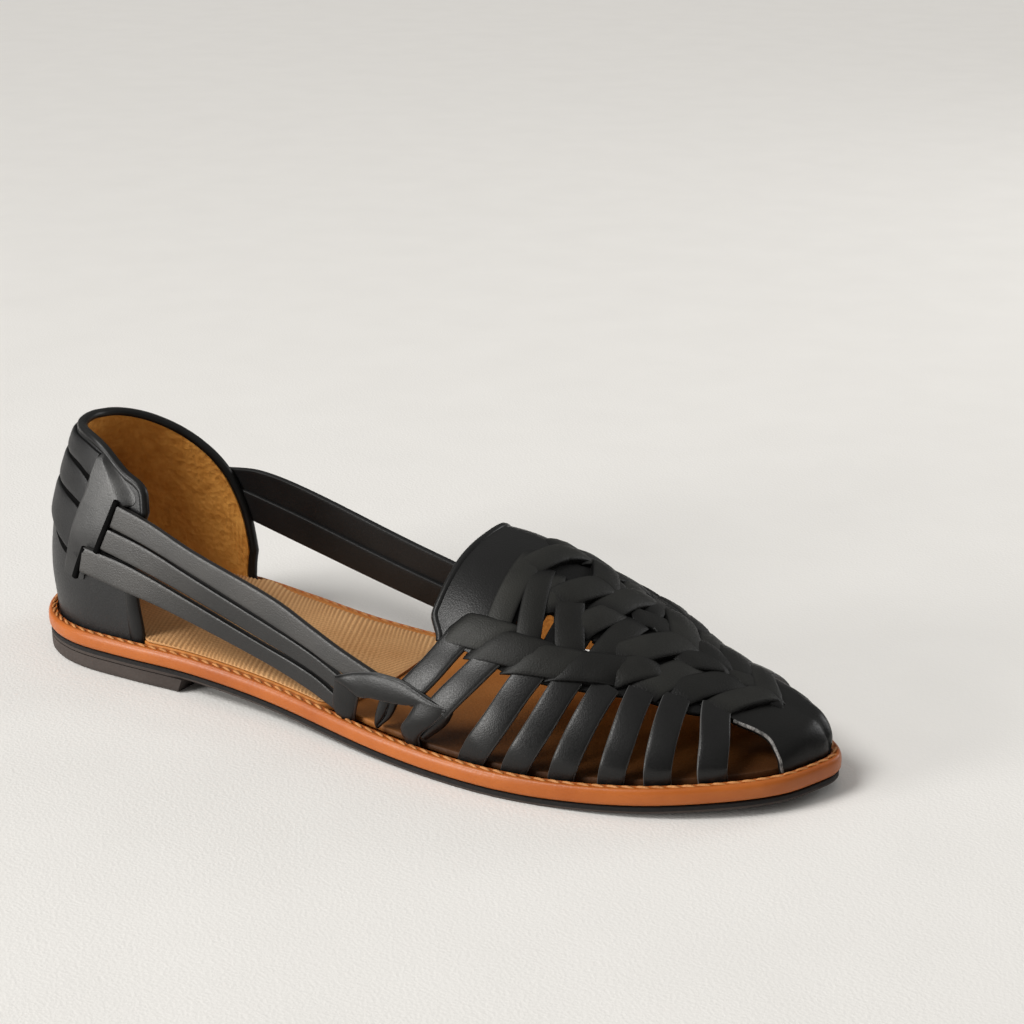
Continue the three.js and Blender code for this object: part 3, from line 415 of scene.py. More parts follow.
insole_leather = leather(
    "insole leather", (0.43, 0.15, 0.028), (0.52, 0.195, 0.044), 0.6, 1100, 0.2, 70, 0.25
)
insole_rings = [
    (insole_inset, above(recess_floor, 1.4)),
    (insole_inset, above(welt_top, 0.2)),
    (lambda x, side: insole_inset(x, side) + 0.2, above(welt_top, 0.4)),
    (lambda x, side: insole_inset(x, side) + 0.9, above(welt_top, 0.4)),
]
insole_flat = moved_in(insole_inset)
# Painted shade: the insole is darkened along the near side of the waist and towards the toe, where the upper
# shades it.
insole_painted_shade = smooth(122, 150, insole_flat[:, 0]) * np.where(insole_flat[:, 1] < 5, 1.0, 0.05)
insole_painted_shade = np.maximum(insole_painted_shade, smooth(215, 245, insole_flat[:, 0]))
shade_by("painted_shade", insole_leather, (0.13, 0.12, 0.11))
new_piece(
    "insole",
    [ring_stack(insole_rings)],
    insole_leather,
    50,
    attributes={"painted_shade": np.tile(insole_painted_shade, len(insole_rings))},
    stands_for=["insole"],
)


# Sock. A thin lining from the heel to the ball, of tan leather embossed with fine ribs
# that run slantwise across the foot; its front edge is cut in a curve.
SOCK_FRONT = 125.0
RIB_PITCH = 1.5
RIB_SLANT = np.tan(np.radians(23))
RIB_DEPTH = 0.22


def sock_sheet():
    """A grid from the heel to the curved front, from edge to edge across, its top waved by the ribs;
    and the share of a groove at each of its points, by which painted shade darkens the grooves."""
    flat = moved_in(lambda x, side: insole_inset(x, side) + 0.4 + 2.4 * (side > 0) * smooth(54, 70, x))
    toe = np.argmax(flat[:, 0])
    inner = flat[: toe + 1]
    outer = flat[toe:][::-1]
    share = np.linspace(0, 1, 680)[:, None]
    across = np.linspace(-1, 1, 49)[None, :]
    start = flat[:, 0].min() + 0.05
    front = SOCK_FRONT - 3.5 * across**2
    x = start + (front - start) * (0.35 * share**2 + 0.65 * share)
    y_inner = np.interp(x, inner[:, 0], inner[:, 1])
    y_outer = np.interp(x, outer[:, 0], outer[:, 1])
    y = (y_inner + y_outer) / 2 + (y_inner - y_outer) / 2 * np.sin(across * np.pi / 2)
    phase = (x + y * RIB_SLANT + 0.8 * np.sin(x * 0.21 + y * 0.13)) / RIB_PITCH
    rib = 0.5 + 0.5 * np.cos(2 * np.pi * phase)
    rim = smooth(0, 0.03, 1 - np.abs(across)) * smooth(0, 0.01, 1 - share)
    thin_edge = 0.45 * smooth(0.7, 1, np.abs(across)) * smooth(50, 70, x)
    top = welt_top(x) + 1.5 - RIB_DEPTH * rib * rim - 0.3 * (1 - rim) - thin_edge
    low = welt_top(x) + 0.4 + GAP
    mesh = closed_sheet(np.stack([x, y, top], -1), np.stack([x, y, low], -1))
    return mesh, rib * rim + 0.5 * (1 - rim)


def closed_sheet(upper, lower):
    """Two grids of the same size, joined along their rims into one closed wall; upper faces out."""
    rows, count = upper.shape[:2]
    index = np.arange(rows * count).reshape(rows, count)
    face = np.stack([index[:-1, :-1], index[1:, :-1], index[1:, 1:], index[:-1, 1:]], -1).reshape(-1, 4)
    size = rows * count
    rim = np.concatenate([index[0, :-1], index[:-1, -1], index[-1, :0:-1], index[:0:-1, 0]])
    ahead = np.roll(rim, -1)
    edge = np.stack([rim, ahead, ahead + size, rim + size], -1)
    points = np.concatenate([upper.reshape(-1, 3), lower.reshape(-1, 3)])
    return points, np.concatenate([face, face[:, ::-1] + size, edge])


sock_mesh, sock_painted_groove_shade = sock_sheet()
sock_leather = leather(
    "ribbed sock leather", (0.57, 0.30, 0.12), (0.73, 0.43, 0.20), 0.75, 1300, 0.3, 45, 0.3
)
# Painted shade in the grooves between the ribs, at half strength round the rim.
shade_by("rib", sock_leather, (0.62, 0.55, 0.48))
new_piece(
    "sock",
    [sock_mesh],
    sock_leather,
    60,
    attributes={"rib": np.tile(sock_painted_groove_shade.ravel(), 2)},
    stands_for=["sock"],
)


# Heel counter. Stiff black leather moulded round the heel, lasted into the sole and
# higher on the outer side, where it ends in a tab that the side straps leave from.
COUNTER = {
    "height": [-4, 0, 15, 30, 45, 60],
    "lean": [0.3, 0.2, -0.9, 0.9, 5.4, 11.2],
    "share": [0.99, 1.0, 1.02, 0.98, 0.89, 0.77],
}
COLLAR_OUTER = {
    "way": [0, 0.25, 0.5, 0.7, 0.85, 0.95, 1],
    "foot": [0, 15.5, 31, 42.6, 51.2, 57.2, 59.4],
    "edge": [0, 15, 31, 43.5, 55.5, 63, 64.5],
    "height": [57.5, 58, 58, 55.6, 49.6, 46, 40],
}
COLLAR_INNER = {
    "way": [0, 0.25, 0.5, 0.7, 0.85, 0.95, 1],
    "foot": [0, 15.5, 31, 43.4, 52.7, 59, 62],
    "edge": [0, 13.5, 29, 44.5, 54.5, 60.5, 63],
    "height": [57.5, 56, 51.5, 44.3, 35.5, 23, 10],
}
COUNTER_WALL = 2.4
last_edge = moved_in(WELT + 0.7)
heel_index = np.argmin(last_edge[:, 0])
toe_index = np.argmax(last_edge[:, 0])
steps_inner = (toe_index - heel_index) % len(last_edge)
steps_outer = (heel_index - toe_index) % len(last_edge)
LAST_INNER = last_edge[(heel_index + np.arange(steps_inner + 1)) % len(last_edge)]
LAST_OUTER = last_edge[(heel_index - np.arange(steps_outer + 1)) % len(last_edge)]


def walked(edge, way):
    """The point that many millimetres round a side from the middle of the heel."""
    reach = np.concatenate([[0], np.cumsum(np.linalg.norm(np.diff(edge, axis=0), axis=1))])
    return np.interp(way, reach, edge[:, 0]), np.interp(way, reach, edge[:, 1])


def counter(way, height, lift=0.0):
    """A point of the counter and its outward direction: way in millimetres round from the heel's
    middle, negative on the outer side, height over the welt, and lift along the outward direction."""
    way, height, lift = np.broadcast_arrays(*[np.asarray(v, float) for v in (way, height, lift)])

    def face(way, height):
        inner_x, inner_y = walked(LAST_INNER, np.abs(way))
        outer_x, outer_y = walked(LAST_OUTER, np.abs(way))
        x = np.where(way < 0, outer_x, inner_x)
        y = np.where(way < 0, outer_y, inner_y)
        lean = read(COUNTER, "height", "lean", height) * (1 - smooth(0, 55, x))
        return np.stack([x + lean, y * read(COUNTER, "height", "share", height), welt_top(x) + height], -1)

    round_it = face(way + 0.8, height) - face(way - 0.8, height)
    rise = face(way, height + 1) - face(way, height - 1)
    out = np.cross(rise, round_it)
    out /= np.linalg.norm(out, axis=-1, keepdims=True)
    return face(way, height) + out * lift[..., None], out


def collar(share):
    """Way at the collar's edge, way at its foot, and height of the edge.
    The share runs from -1 (outer end) over 0 (back) to 1 (inner end)."""
    size = np.abs(share)
    edge, foot, high = [
        np.where(share < 0, read(COLLAR_OUTER, "way", column, size), read(COLLAR_INNER, "way", column, size))
        for column in ("edge", "foot", "height")
    ]
    turn = np.where(share < 0, -1.0, 1.0)
    return turn * edge, turn * foot, high


def counter_grid(lift):
    """The counter's face as a grid: columns round the heel, rows from the recess up to the collar."""
    share = np.linspace(-1, 1, 141)[:, None]
    v = np.linspace(0, 1, 61)[None, :]
    edge, foot, high = collar(share)
    way = foot + (edge - foot) * v**3
    low = -RECESS - 0.4
    height = low + (high - low) * v
    return counter(way, height, lift)[0]


black_leather = leather(
    "black satin leather", (0.006, 0.006, 0.0065), (0.011, 0.011, 0.0115), 0.42, 1500, 0.12, 60, 0.4
)
inner_face = counter_grid(-COUNTER_WALL + 0.7)
outer_face = counter_grid(0.0)
new_piece(
    "heel_counter",
    [closed_sheet(inner_face[:, ::-1], outer_face[:, ::-1])],
    black_leather,
    60,
    stands_for=["upper"],
)


# Lining. Soft tan suede inside the counter, turned under the collar binding,
# with slight puckers where it is pulled round the front edges.
lining_share = np.linspace(-1, 1, 241)[:, None]
lining_rise = np.linspace(0, 1, 81)[None, :]


def lining_grid(lift):
    """One face of the lining, as columns round the heel and rows up to the collar."""
    share, v = lining_share, lining_rise
    edge, foot, high = collar(share)
    pucker = 0.28 * np.sin(share * 260) * smooth(0.78, 0.98, np.abs(share)) * np.sin(np.pi * v)
    dent = 0.5 * np.sin(12.4 * share + 8.8 * v) * np.sin(np.pi * v) * (1 - smooth(0.9, 1, np.abs(share)))
    dent = dent + 0.22 * np.sin(61 * share + 7 * np.sin(23 * v)) * np.sin(47 * v + 5 * np.sin(31 * share))
    way = (foot + (edge - foot) * v**3) * 0.985
    height = 0.9 + (high - 0.4 - 0.9) * v
    return counter(way, height, lift + (pucker + 0.35 * dent))[0]


suede = leather("tan lining suede", (0.68, 0.30, 0.058), (0.86, 0.42, 0.095), 0.85, 480, 1.0, 220, 0.15)
# Painted shadow: the suede is darkened over the outer side and round the back, less so up towards the
# collar.
shade_by("painted_shadow", suede, (0.42, 0.36, 0.28))
lining_out = lining_grid(-COUNTER_WALL + 0.5)
lining_in = lining_grid(-COUNTER_WALL - 0.3)
lining_painted_shadow = 1 - smooth(0.05, 0.62, lining_share)
lining_painted_shadow = lining_painted_shadow * (1 - 0.7 * smooth(0.6, 1, lining_rise[:, ::-1]))
new_piece(
    "lining",
    [closed_sheet(lining_in[:, ::-1], lining_out[:, ::-1])],
    suede,
    60,
    attributes={"painted_shadow": np.tile(lining_painted_shadow.ravel(), 2)},
)


# Collar binding. A folded strip of smooth black leather rolled over the counter's edge
# and down both its front edges.
def binding_path():
    """Ways and heights from the outer front edge's foot, round the collar, to the inner edge's foot."""
    edge, _, high = collar(np.linspace(-1, 1, 161))
    down = np.linspace(0, 1, 30)[:-1]
    foot = 0.4 - RECESS
    outer_foot, outer_end = 59.2, COLLAR_OUTER["edge"][-1]
    inner_foot, inner_end = COLLAR_INNER["foot"][-1], COLLAR_INNER["edge"][-1]
    outer_way = -(outer_foot + 1.3 * (1 - smooth(0, 0.6, down)) + (outer_end - outer_foot) * down**3)
    inner_way = inner_foot + (inner_end - inner_foot) * down**3
    outer_high = foot + (COLLAR_OUTER["height"][-1] - foot) * down
    inner_high = foot + (COLLAR_INNER["height"][-1] - foot) * down
    way = np.concatenate([outer_way, edge, inner_way[::-1]])
    height = np.concatenate([outer_high, high, inner_high[::-1]])
    return way, height


def runs_of(points):
    """Unit directions along a row of points."""
    run = np.gradient(points, axis=0)
    return run / np.linalg.norm(run, axis=1, keepdims=True)


def frames(points, outs):
    """Side and outward directions square to the path."""
    run = runs_of(points)
    outs = outs - run * np.sum(outs * run, axis=1, keepdims=True)
    outs /= np.linalg.norm(outs, axis=1, keepdims=True)
    return np.cross(outs, run), outs


binding_way, binding_high = binding_path()
binding_centres, binding_outs = counter(binding_way, binding_high, -COUNTER_WALL / 2)
binding_sides, binding_outs = frames(binding_centres, binding_outs)
outer_spread = 1.5 * (1 - smooth(20, 34, binding_high)) + 1.7 * (1 - smooth(2, 22, binding_high))
binding_widths = 2.7 + outer_spread * (binding_way < 0)
binding = loft(
    binding_centres,
    binding_sides,
    binding_outs,
    binding_widths,
    np.full(len(binding_way), 3.1),
    round_section(14),
)
binding_leather = leather("binding leather", grey(0.005), grey(0.010), 0.36, 1800, 0.06, 90, 0.3)
new_piece("collar_binding", [binding], binding_leather, 60)


# Heel bands. Three flat strips of black leather laid one above the other round the back
# of the counter and drawn together into the side tabs.
HEEL_BANDS = [
    {
        "way": [0, 22, 34, 43],
        "outer_low": [50.6, 50.6, 49.6, 46.8],
        "outer_high": [56.2, 56.8, 56.4, 54.6],
        "inner_low": [50.6, 46.8, 42, 37],
        "inner_high": [56.2, 52.6, 48.6, 43.6],
    },
    {
        "way": [0, 22, 34, 43],
        "outer_low": [41.6, 41.6, 40.2, 37.6],
        "outer_high": [50.3, 50.2, 48.6, 44.6],
        "inner_low": [41.6, 38, 34, 30],
        "inner_high": [50.3, 46.4, 41.2, 35.2],
    },
    {
        "way": [0, 22, 34, 43],
        "outer_low": [30.2, 29.9, 25.6, 21.4],
        "outer_high": [41.3, 41.2, 39, 35.2],
        "inner_low": [30.2, 26.4, 22.6, 18.4],
        "inner_high": [41.3, 37.6, 33, 28.2],
    },
]


def strap_section(count=28, power=5.0):
    """A flat strip's section: a rectangle with rounded corners, its underside on the path."""
    turn = 2 * np.pi * np.arange(count) / count
    across = np.sign(np.cos(turn)) * np.abs(np.cos(turn)) ** (2 / power)
    up = np.sign(np.sin(turn)) * np.abs(np.sin(turn)) ** (2 / power)
    return np.stack([across / 2, up / 2 + 0.5], -1)


def edge_measure(section, rows):
    """The measure of a strip's points for its painted edge tone: 0 in the middle and underneath, 1 at both
    edges.
    """
    return np.tile(np.abs(2 * section[:, 0]) * (section[:, 1] > 0.3), rows)


def strap(points, outs, widths, thickness, sink, section=None):
    """A flat strip carried along points, and its edge measure."""
    section = strap_section() if section is None else section
    sides, outs = frames(points, outs)
    count = len(points)
    widths = np.broadcast_to(widths, count)
    thickness = np.broadcast_to(thickness, count)
    centres = points + outs * np.broadcast_to(sink, count)[:, None]
    mesh = loft(centres, sides, outs, widths, thickness, section)
    return mesh, edge_measure(section, count)


def heel_band(rows):
    """A band between its lower and upper edges, from one side tab round the back to the other."""
    end = rows["way"][-1]
    way = np.linspace(-end, end, 97)
    size = np.abs(way)
    low, high = [
        np.where(way < 0, read(rows, "way", "outer_" + edge, size), read(rows, "way", "inner_" + edge, size))
        for edge in ("low", "high")
    ]
    points, outs = counter(way, (low + high) / 2, 0.0)
    return strap(points, outs, high - low, 1.9, -0.7, strap_section(32, 3.4))


def edge_shade_and_highlight_leather(name, dark, light, edge_tone, roughness, gloss=0.5, grain_depth=0.15, edge_start=0.9):
    """Black leather whose edges take another tone: the piece's edge measure mixes its colour towards the
    edge tone, as painted shade where that is darker and as a light cut edge with painted highlight where it
    is lighter.
    """
    material = leather(name, dark, light, roughness, 2400, grain_depth, 80, gloss)
    nodes, links = material.node_tree.nodes, material.node_tree.links
    shader = nodes["Principled BSDF"]
    base = shader.inputs["Base Color"].links[0].from_socket
    edge = nodes.new("ShaderNodeAttribute")
    edge.attribute_name = "edge"
    rise = nodes.new("ShaderNodeMapRange")
    rise.inputs["From Min"].default_value = edge_start
    rise.inputs["From Max"].default_value = 1.0
    links.new(edge.outputs["Fac"], rise.inputs["Value"])
    mix = nodes.new("ShaderNodeMix")
    mix.data_type = "RGBA"
    mix.inputs["B"].default_value = (*edge_tone, 1)
    links.new(rise.outputs["Result"], mix.inputs["Factor"])
    links.new(base, mix.inputs["A"])
    links.new(mix.outputs["Result"], shader.inputs["Base Color"])
    return material


def add_straps(name, made, material, **measures):
    """Joins strips and their edge measures into one piece, with any other measures of their points."""
    meshes, edges = zip(*made)
    attributes = {"edge": np.concatenate(edges), **measures}
    new_piece(name, meshes, material, 60, attributes=attributes)


def band_shadow_sheet():
    """A near-black sheet under the bands, put there as painted shadow in the wedges that open between them
    near the outer tab.
    """
    way = np.linspace(-46, 44, 121)[:, None]
    size = np.minimum(np.abs(way), 43)
    lowest = HEEL_BANDS[2]
    outer_low = read(lowest, "way", "outer_low", size) - 4.5 * smooth(18, 34, size)
    low = 1.5 + np.where(way < 0, outer_low, read(lowest, "way", "inner_low", size))
    high = np.where(way < 0, 53, 53 - 12 * smooth(10, 43, size))
    height = low + (high - low) * np.linspace(0, 1, 30)[None, :]
    over = counter(way, height, 0.35)[0]
    under = counter(way, height, -0.5)[0]
    return closed_sheet(over, under)


# Near-black, nearly matt leather that stands in for shadow, under the bands and in the tab's slots.
shadow_black_leather = leather("shadow black leather", grey(0.0015), grey(0.003), 0.85, 1500, 0.1, 80, 0.05)
new_piece("band_shadow_sheet", [band_shadow_sheet()], shadow_black_leather, 60)
# Painted shade: the bands' edges are darkened, as in the shadow lines between them.
band_leather = edge_shade_and_highlight_leather(
    "heel band leather", (0.008, 0.008, 0.0085), (0.014, 0.014, 0.0145), grey(0.003), 0.48, 0.3
)
add_straps("heel_bands", [heel_band(row) for row in HEEL_BANDS], band_leather)


# Side tabs. A shaped piece of the same leather stitched over the bands' ends on each side,
# slotted near its front edge for the straps.
TAB_INNER = {
    "height": [6, 13, 24, 34, 38, 41],
    "rear": [38.5, 38, 40, 42.5, 43.5, 44.5],
    "front": [43, 47.5, 50, 49.5, 47.5, 46],
}
TAB_OUTER = {
    "height": [16, 26.2, 27.2, 40, 41.2, 44, 49, 53, 54.5],
    "rear": [33.5, 36.5, 36.7, 40.2, 40.5, 41.2, 42.6, 44.2, 44.6],
    "front": [42.8, 46.8, 50.6, 55.6, 60.4, 61.4, 55.4, 49.0, 46.4],
}


def side_tab(rows, side):
    """A tab between its rear and front edges, thinned all round, and its measure of painted shade over its
    lower part.
    """
    v = np.linspace(0, 1, 61)[None, :]
    u = np.linspace(0, 1, 31)[:, None]
    low, high = rows["height"][0], rows["height"][-1]
    height = low + (high - low) * v + 0 * u
    rear = read(rows, "height", "rear", height)
    front = read(rows, "height", "front", height)
    way = side * (rear + (front - rear) * u)
    under_binding = smooth(40, 44, height) * (side < 0)
    fade = smooth(0, 0.45, v) * smooth(0, 0.06, u) * smooth(0, 0.04, 1 - v)
    fade = fade * smooth(0, 0.06 + 0.34 * under_binding, 1 - u)
    top, _ = counter(way, height, 0.4 - 0.35 * under_binding * smooth(0.7, 1, u) + 1.7 * fade)
    low_face, _ = counter(way, height, -0.6)
    mesh = closed_sheet(top, low_face) if side > 0 else closed_sheet(low_face, top)
    painted_low_shade = 1 - smooth(0.15, 0.7, v) + 0 * u
    return mesh, np.tile(painted_low_shade.ravel(), 2)


tab_leather = leather(
    "side tab leather", grey(0.022), (0.062, 0.061, 0.060), 0.42, 2200, 0.14, 120, 0.5
)
# Painted shade: the tabs' lower parts are darkened, fading out towards their tops.
shade_by("painted_low_shade", tab_leather, (0.22, 0.22, 0.23))
tab_meshes, tab_painted_low_shade = zip(side_tab(TAB_OUTER, -1), side_tab(TAB_INNER, 1))
new_piece(
    "side_tabs",
    tab_meshes,
    tab_leather,
    60,
    attributes={"painted_low_shade": np.concatenate(tab_painted_low_shade)},
)


# Slot edges. The turned-in edges of the tab's two slots, as narrow near-black lips over the
# roots of the side straps; they stand in for the shadow in the slots.
SLOTS = [
    {"way": [-56.8, -50.2], "height": [42.4, 26.4]},
    {"way": [-45.8, -42.2], "height": [27.0, 17.4]},
]


def slot_lip(row):
    """A narrow lip along a straight line on the counter."""
    t = np.linspace(0, 1, 21)
    way = row["way"][0] + (row["way"][1] - row["way"][0]) * t
    height = row["height"][0] + (row["height"][1] - row["height"][0]) * t
    points, outs = counter(way, height, 2.4)
    return strap(points, outs, 1.9, 1.6, -0.3, strap_section(16, 3))


add_straps("slot_lips", [slot_lip(row) for row in SLOTS], shadow_black_leather)


# Side straps. Long flat strips of black leather from the tabs to the keepers, three on the
# outer side and two on the inner, leaving the waist of the foot open between them.
STRAPS = [
    {
        "side": -1,
        "twist": 0.04,
        "x": [41.3, 54, 70, 100, 114, 123, 138],
        "y": [-28.8, -29.5, -31, -34, -35.4, -36.6, -37.6],
        "low": [46.4, 43.3, 38.9, 30.2, 25.6, 22.4, 17.4],
        "high": [54.6, 51.2, 45.9, 38, 32.4, 29, 23.6],
    },
    {
        "side": -1,
        "twist": 0.19,
        "x": [38, 54, 70, 100, 114, 128],
        "y": [-29.9, -30.7, -31.6, -34, -35.4, -37],
        "low": [39.4, 35.8, 31.7, 23.5, 19.6, 14.2],
        "high": [47.2, 43.6, 38.5, 29.5, 25, 18.8],
    },
    {
        "side": -1,
        "twist": 0.22,
        "x": [31, 46, 62, 96, 114, 125],
        "y": [-31, -31.4, -31.9, -33.6, -35.5, -36.8],
        "low": [31.4, 28.6, 25.8, 18, 13.2, 9],
        "high": [40, 37.6, 33.4, 23.6, 18.8, 13.4],
    },
    {
        "side": 1,
        "twist": 0,
        "x": [38, 52, 70, 110, 150],
        "y": [30.2, 29, 27.2, 25.3, 27.3],
        "low": [41.5, 40.6, 37.2, 27.6, 17],
        "high": [47, 48.4, 46.1, 36, 24.6],
    },
    {
        "side": 1,
        "twist": 0,
        "x": [38, 52, 70, 110, 150],
        "y": [30.2, 29, 27.2, 25.3, 27.3],
        "low": [34.2, 31.3, 27.8, 19, 9.2],
        "high": [42.4, 40, 36.6, 27, 16.4],
    },
]
STRIP = 2.0
STRAP_STEPS = 110
SQUARE_SECTION = strap_section(32, 8)


def strap_run(row):
    """A strap's stations, and the share by which each lies ahead of the tab."""
    x = np.linspace(row["x"][0], row["x"][-1], STRAP_STEPS)
    return x, smooth(46, 86, x)


def side_strap(row):
    """A strap between its lower and upper edges, standing clear of the foot along the waist."""
    x, forward = strap_run(row)
    low = read(row, "x", "low", x)
    high = read(row, "x", "high", x)
    points = np.stack([x, read(row, "x", "y", x), (low + high) / 2], -1)
    tilt = 0.12 - row["twist"] * forward
    outs = np.stack([0 * x, row["side"] + 0 * x, tilt], -1)
    spare = 0.9 - 2.6 * row["twist"] * forward if row["side"] < 0 else -0.7
    return strap(points, outs, high - low - spare, STRIP, -STRIP / 2, SQUARE_SECTION)


strap_leather = edge_shade_and_highlight_leather(
    "strap leather", (0.018, 0.0165, 0.015), (0.032, 0.029, 0.026), grey(0.004), 0.40, 0.55
)
shade_by("shaded", strap_leather, (0.16, 0.16, 0.17))
outer_rows = [row for row in STRAPS if row["side"] < 0]
shaded = np.concatenate(
    [
        np.repeat(share * strap_run(row)[1], len(SQUARE_SECTION))
        for row, share in zip(outer_rows, [0.15, 0.9, 1.0])
    ]
)
add_straps("side_straps", [side_strap(row) for row in outer_rows], strap_leather, shaded=shaded)
add_straps("inner_straps", [side_strap(row) for row in STRAPS if row["side"] > 0], band_leather)


# Woven wall. The dark inner layer of the weave over the forefoot, which the visible strips
# pass over; three gaps on the outer side are open right through it.
RIDGE = {
    "x": [146, 157, 165, 175, 185, 195, 205, 215, 225, 235, 242, 247, 250.5, 251.5],
    "height": [55.0, 54.0, 51.8, 47.8, 42.8, 37.6, 33.3, 28.8, 25.2, 22.1, 19.8, 18.2, 14.2, 10.2],
    "offset": [4, 4, 4, 4, 4, 4, 3.5, 3, 2.5, 2, 1.8, 1.7, 1.6, 1.6],
}
WALL_EDGE = {
    "x": [150, 164, 176, 185, 196, 211, 220, 229, 238],
    "way": [0.6, 0.57, 0.57, 0.54, 0.48, 0.39, 0.36, 0.3, 0.3],
}
OPENINGS = [
    {"x": 179, "way": 0.34, "along": 2.6, "across": 7.0},
    {"x": 192, "way": 0.31, "along": 3.6, "across": 3.6},
    {"x": 172.8, "way": 0.42, "along": 1.6, "across": 4.4},
]
WALL = 1.4
WALL_REAR = 163
WALL_FRONT = 236.5


def last_face(x, way):
    """The last over the forefoot: way 0 is its ridge, -1 the outer and 1 the inner edge at the welt.
    Each half section is a quarter of an ellipse, a little fuller on the inner side of the toe."""
    foot = np.where(
        way < 0,
        np.interp(x, LAST_OUTER[:, 0], LAST_OUTER[:, 1]),
        np.interp(x, LAST_INNER[:, 0], LAST_INNER[:, 1]),
    )
    turn = np.abs(way) * np.pi / 2
    ridge = read(RIDGE, "x", "offset", x)
    height = read(RIDGE, "x", "height", x) - welt_top(x)
    full = 2.4 * smooth(214, 240, x) * (way > 0) * np.sin(2 * np.minimum(turn, np.pi / 2)) ** 2
    y = ridge + (foot - ridge) * np.sin(turn) + full * np.sin(turn)
    return np.stack([x, y, welt_top(x) + height * np.cos(turn) + full * np.cos(turn)], -1)


def last(x, way, lift=0.0):
    """A point lifted off the last along its outward direction, and that direction."""
    x, way, lift = np.broadcast_arrays(*[np.asarray(v, float) for v in (x, way, lift)])
    back = np.minimum(x, 250.5)
    forward = last_face(back + 0.6, way) - last_face(back - 0.6, way)
    down = last_face(back, way + 0.02) - last_face(back, way - 0.02)
    out = np.cross(forward, down)
    out /= np.linalg.norm(out, axis=-1, keepdims=True)
    return last_face(x, way) + out * lift[..., None], out


def woven_wall():
    """The wall as a grid with the openings' faces left out; its thickness comes from Solidify."""
    rows, count = 150, 121
    x = np.linspace(WALL_REAR, WALL_FRONT, rows)[:, None] + np.zeros((1, count))
    way = np.linspace(-1, 1, count)[None, :] * (read(WALL_EDGE, "x", "way", x) + 0.035)
    points, _ = last(x, way, -0.4)
    index = np.arange(rows * count).reshape(rows, count)
    faces = np.stack([index[:-1, :-1], index[1:, :-1], index[1:, 1:], index[:-1, 1:]], -1)
    middle_x = (x[:-1, :-1] + x[1:, 1:]) / 2
    middle_way = (way[:-1, :-1] + way[1:, 1:]) / 2
    keep = np.ones(middle_x.shape, bool)
    for hole in OPENINGS:
        inside = (np.abs(middle_x - hole["x"]) < hole["along"] / 2) & (
            np.abs(-middle_way - hole["way"]) < hole["across"] / 110
        )
        keep &= ~inside
    return points.reshape(-1, 3), faces[keep]


wall_leather = leather("inner weave leather", grey(0.004), grey(0.008), 0.7, 1500, 0.15, 80, 0.2)
wall_piece = new_piece("woven_wall", [woven_wall()], wall_leather, 60)
thickness = wall_piece.modifiers.new("wall", "SOLIDIFY")
thickness.thickness = WALL / 1000
thickness.offset = -1


# Weave. Strips of matt black leather plaited over the forefoot; each visible stretch swells
# in its middle and tucks under its neighbours at both ends. A row gives a stretch's station
# and way at its start and at its end, its width, and how far its middle stands up.
TILES = [
    (168, 0.47, 166, 0.1, 7.0, 0.9),
    (177, 0.46, 171, 0.17, 6.6, 1.2),
    (178, 0.27, 174.5, 0.13, 4.4, 0.6),
    (188, 0.42, 180.5, 0.19, 8.0, 1.0),
    (178.5, 0.21, 184.5, -0.01, 8.0, 1.6),
    (186.5, 0.28, 190.5, 0.1, 7.6, 0.9),
    (195, 0.33, 196, 0.09, 7.6, 0.8),
    (199.5, 0.28, 210, -0.03, 8.8, 1.6),
    (211, 0.12, 220, -0.02, 7.4, 1.5),
    (199, 0.41, 207, 0.25, 8.2, 1.6),
    (208.5, 0.38, 214.5, 0.12, 8.4, 0.9),
    (216, 0.31, 225, 0.05, 8.6, 1.3),
    (226, 0.3, 234.5, -0.03, 6.8, 1.5),
]
RIDGE_TILES = [
    (167, 0.16, 173, -0.18, 7.0, 1.3),
    (181.5, -0.04, 188, -0.1, 7.0, 0.9),
    (189, 0.1, 192.5, -0.22, 8.0, 1.3),
    (195, 0.03, 204, -0.05, 7.4, 0.8),
    (222.5, 0.02, 230, -0.08, 7.0, 0.9),
]
BRAID = [
    (157, 0.535, 171, 0.495, 9.6, 1.2),
    (166.5, 0.545, 182.5, 0.485, 9.4, 1.5),
    (177, 0.53, 192.5, 0.44, 9.2, 1.8),
    (187.5, 0.475, 201.5, 0.365, 9.0, 2.1),
]
STRIP_STEPS = 41


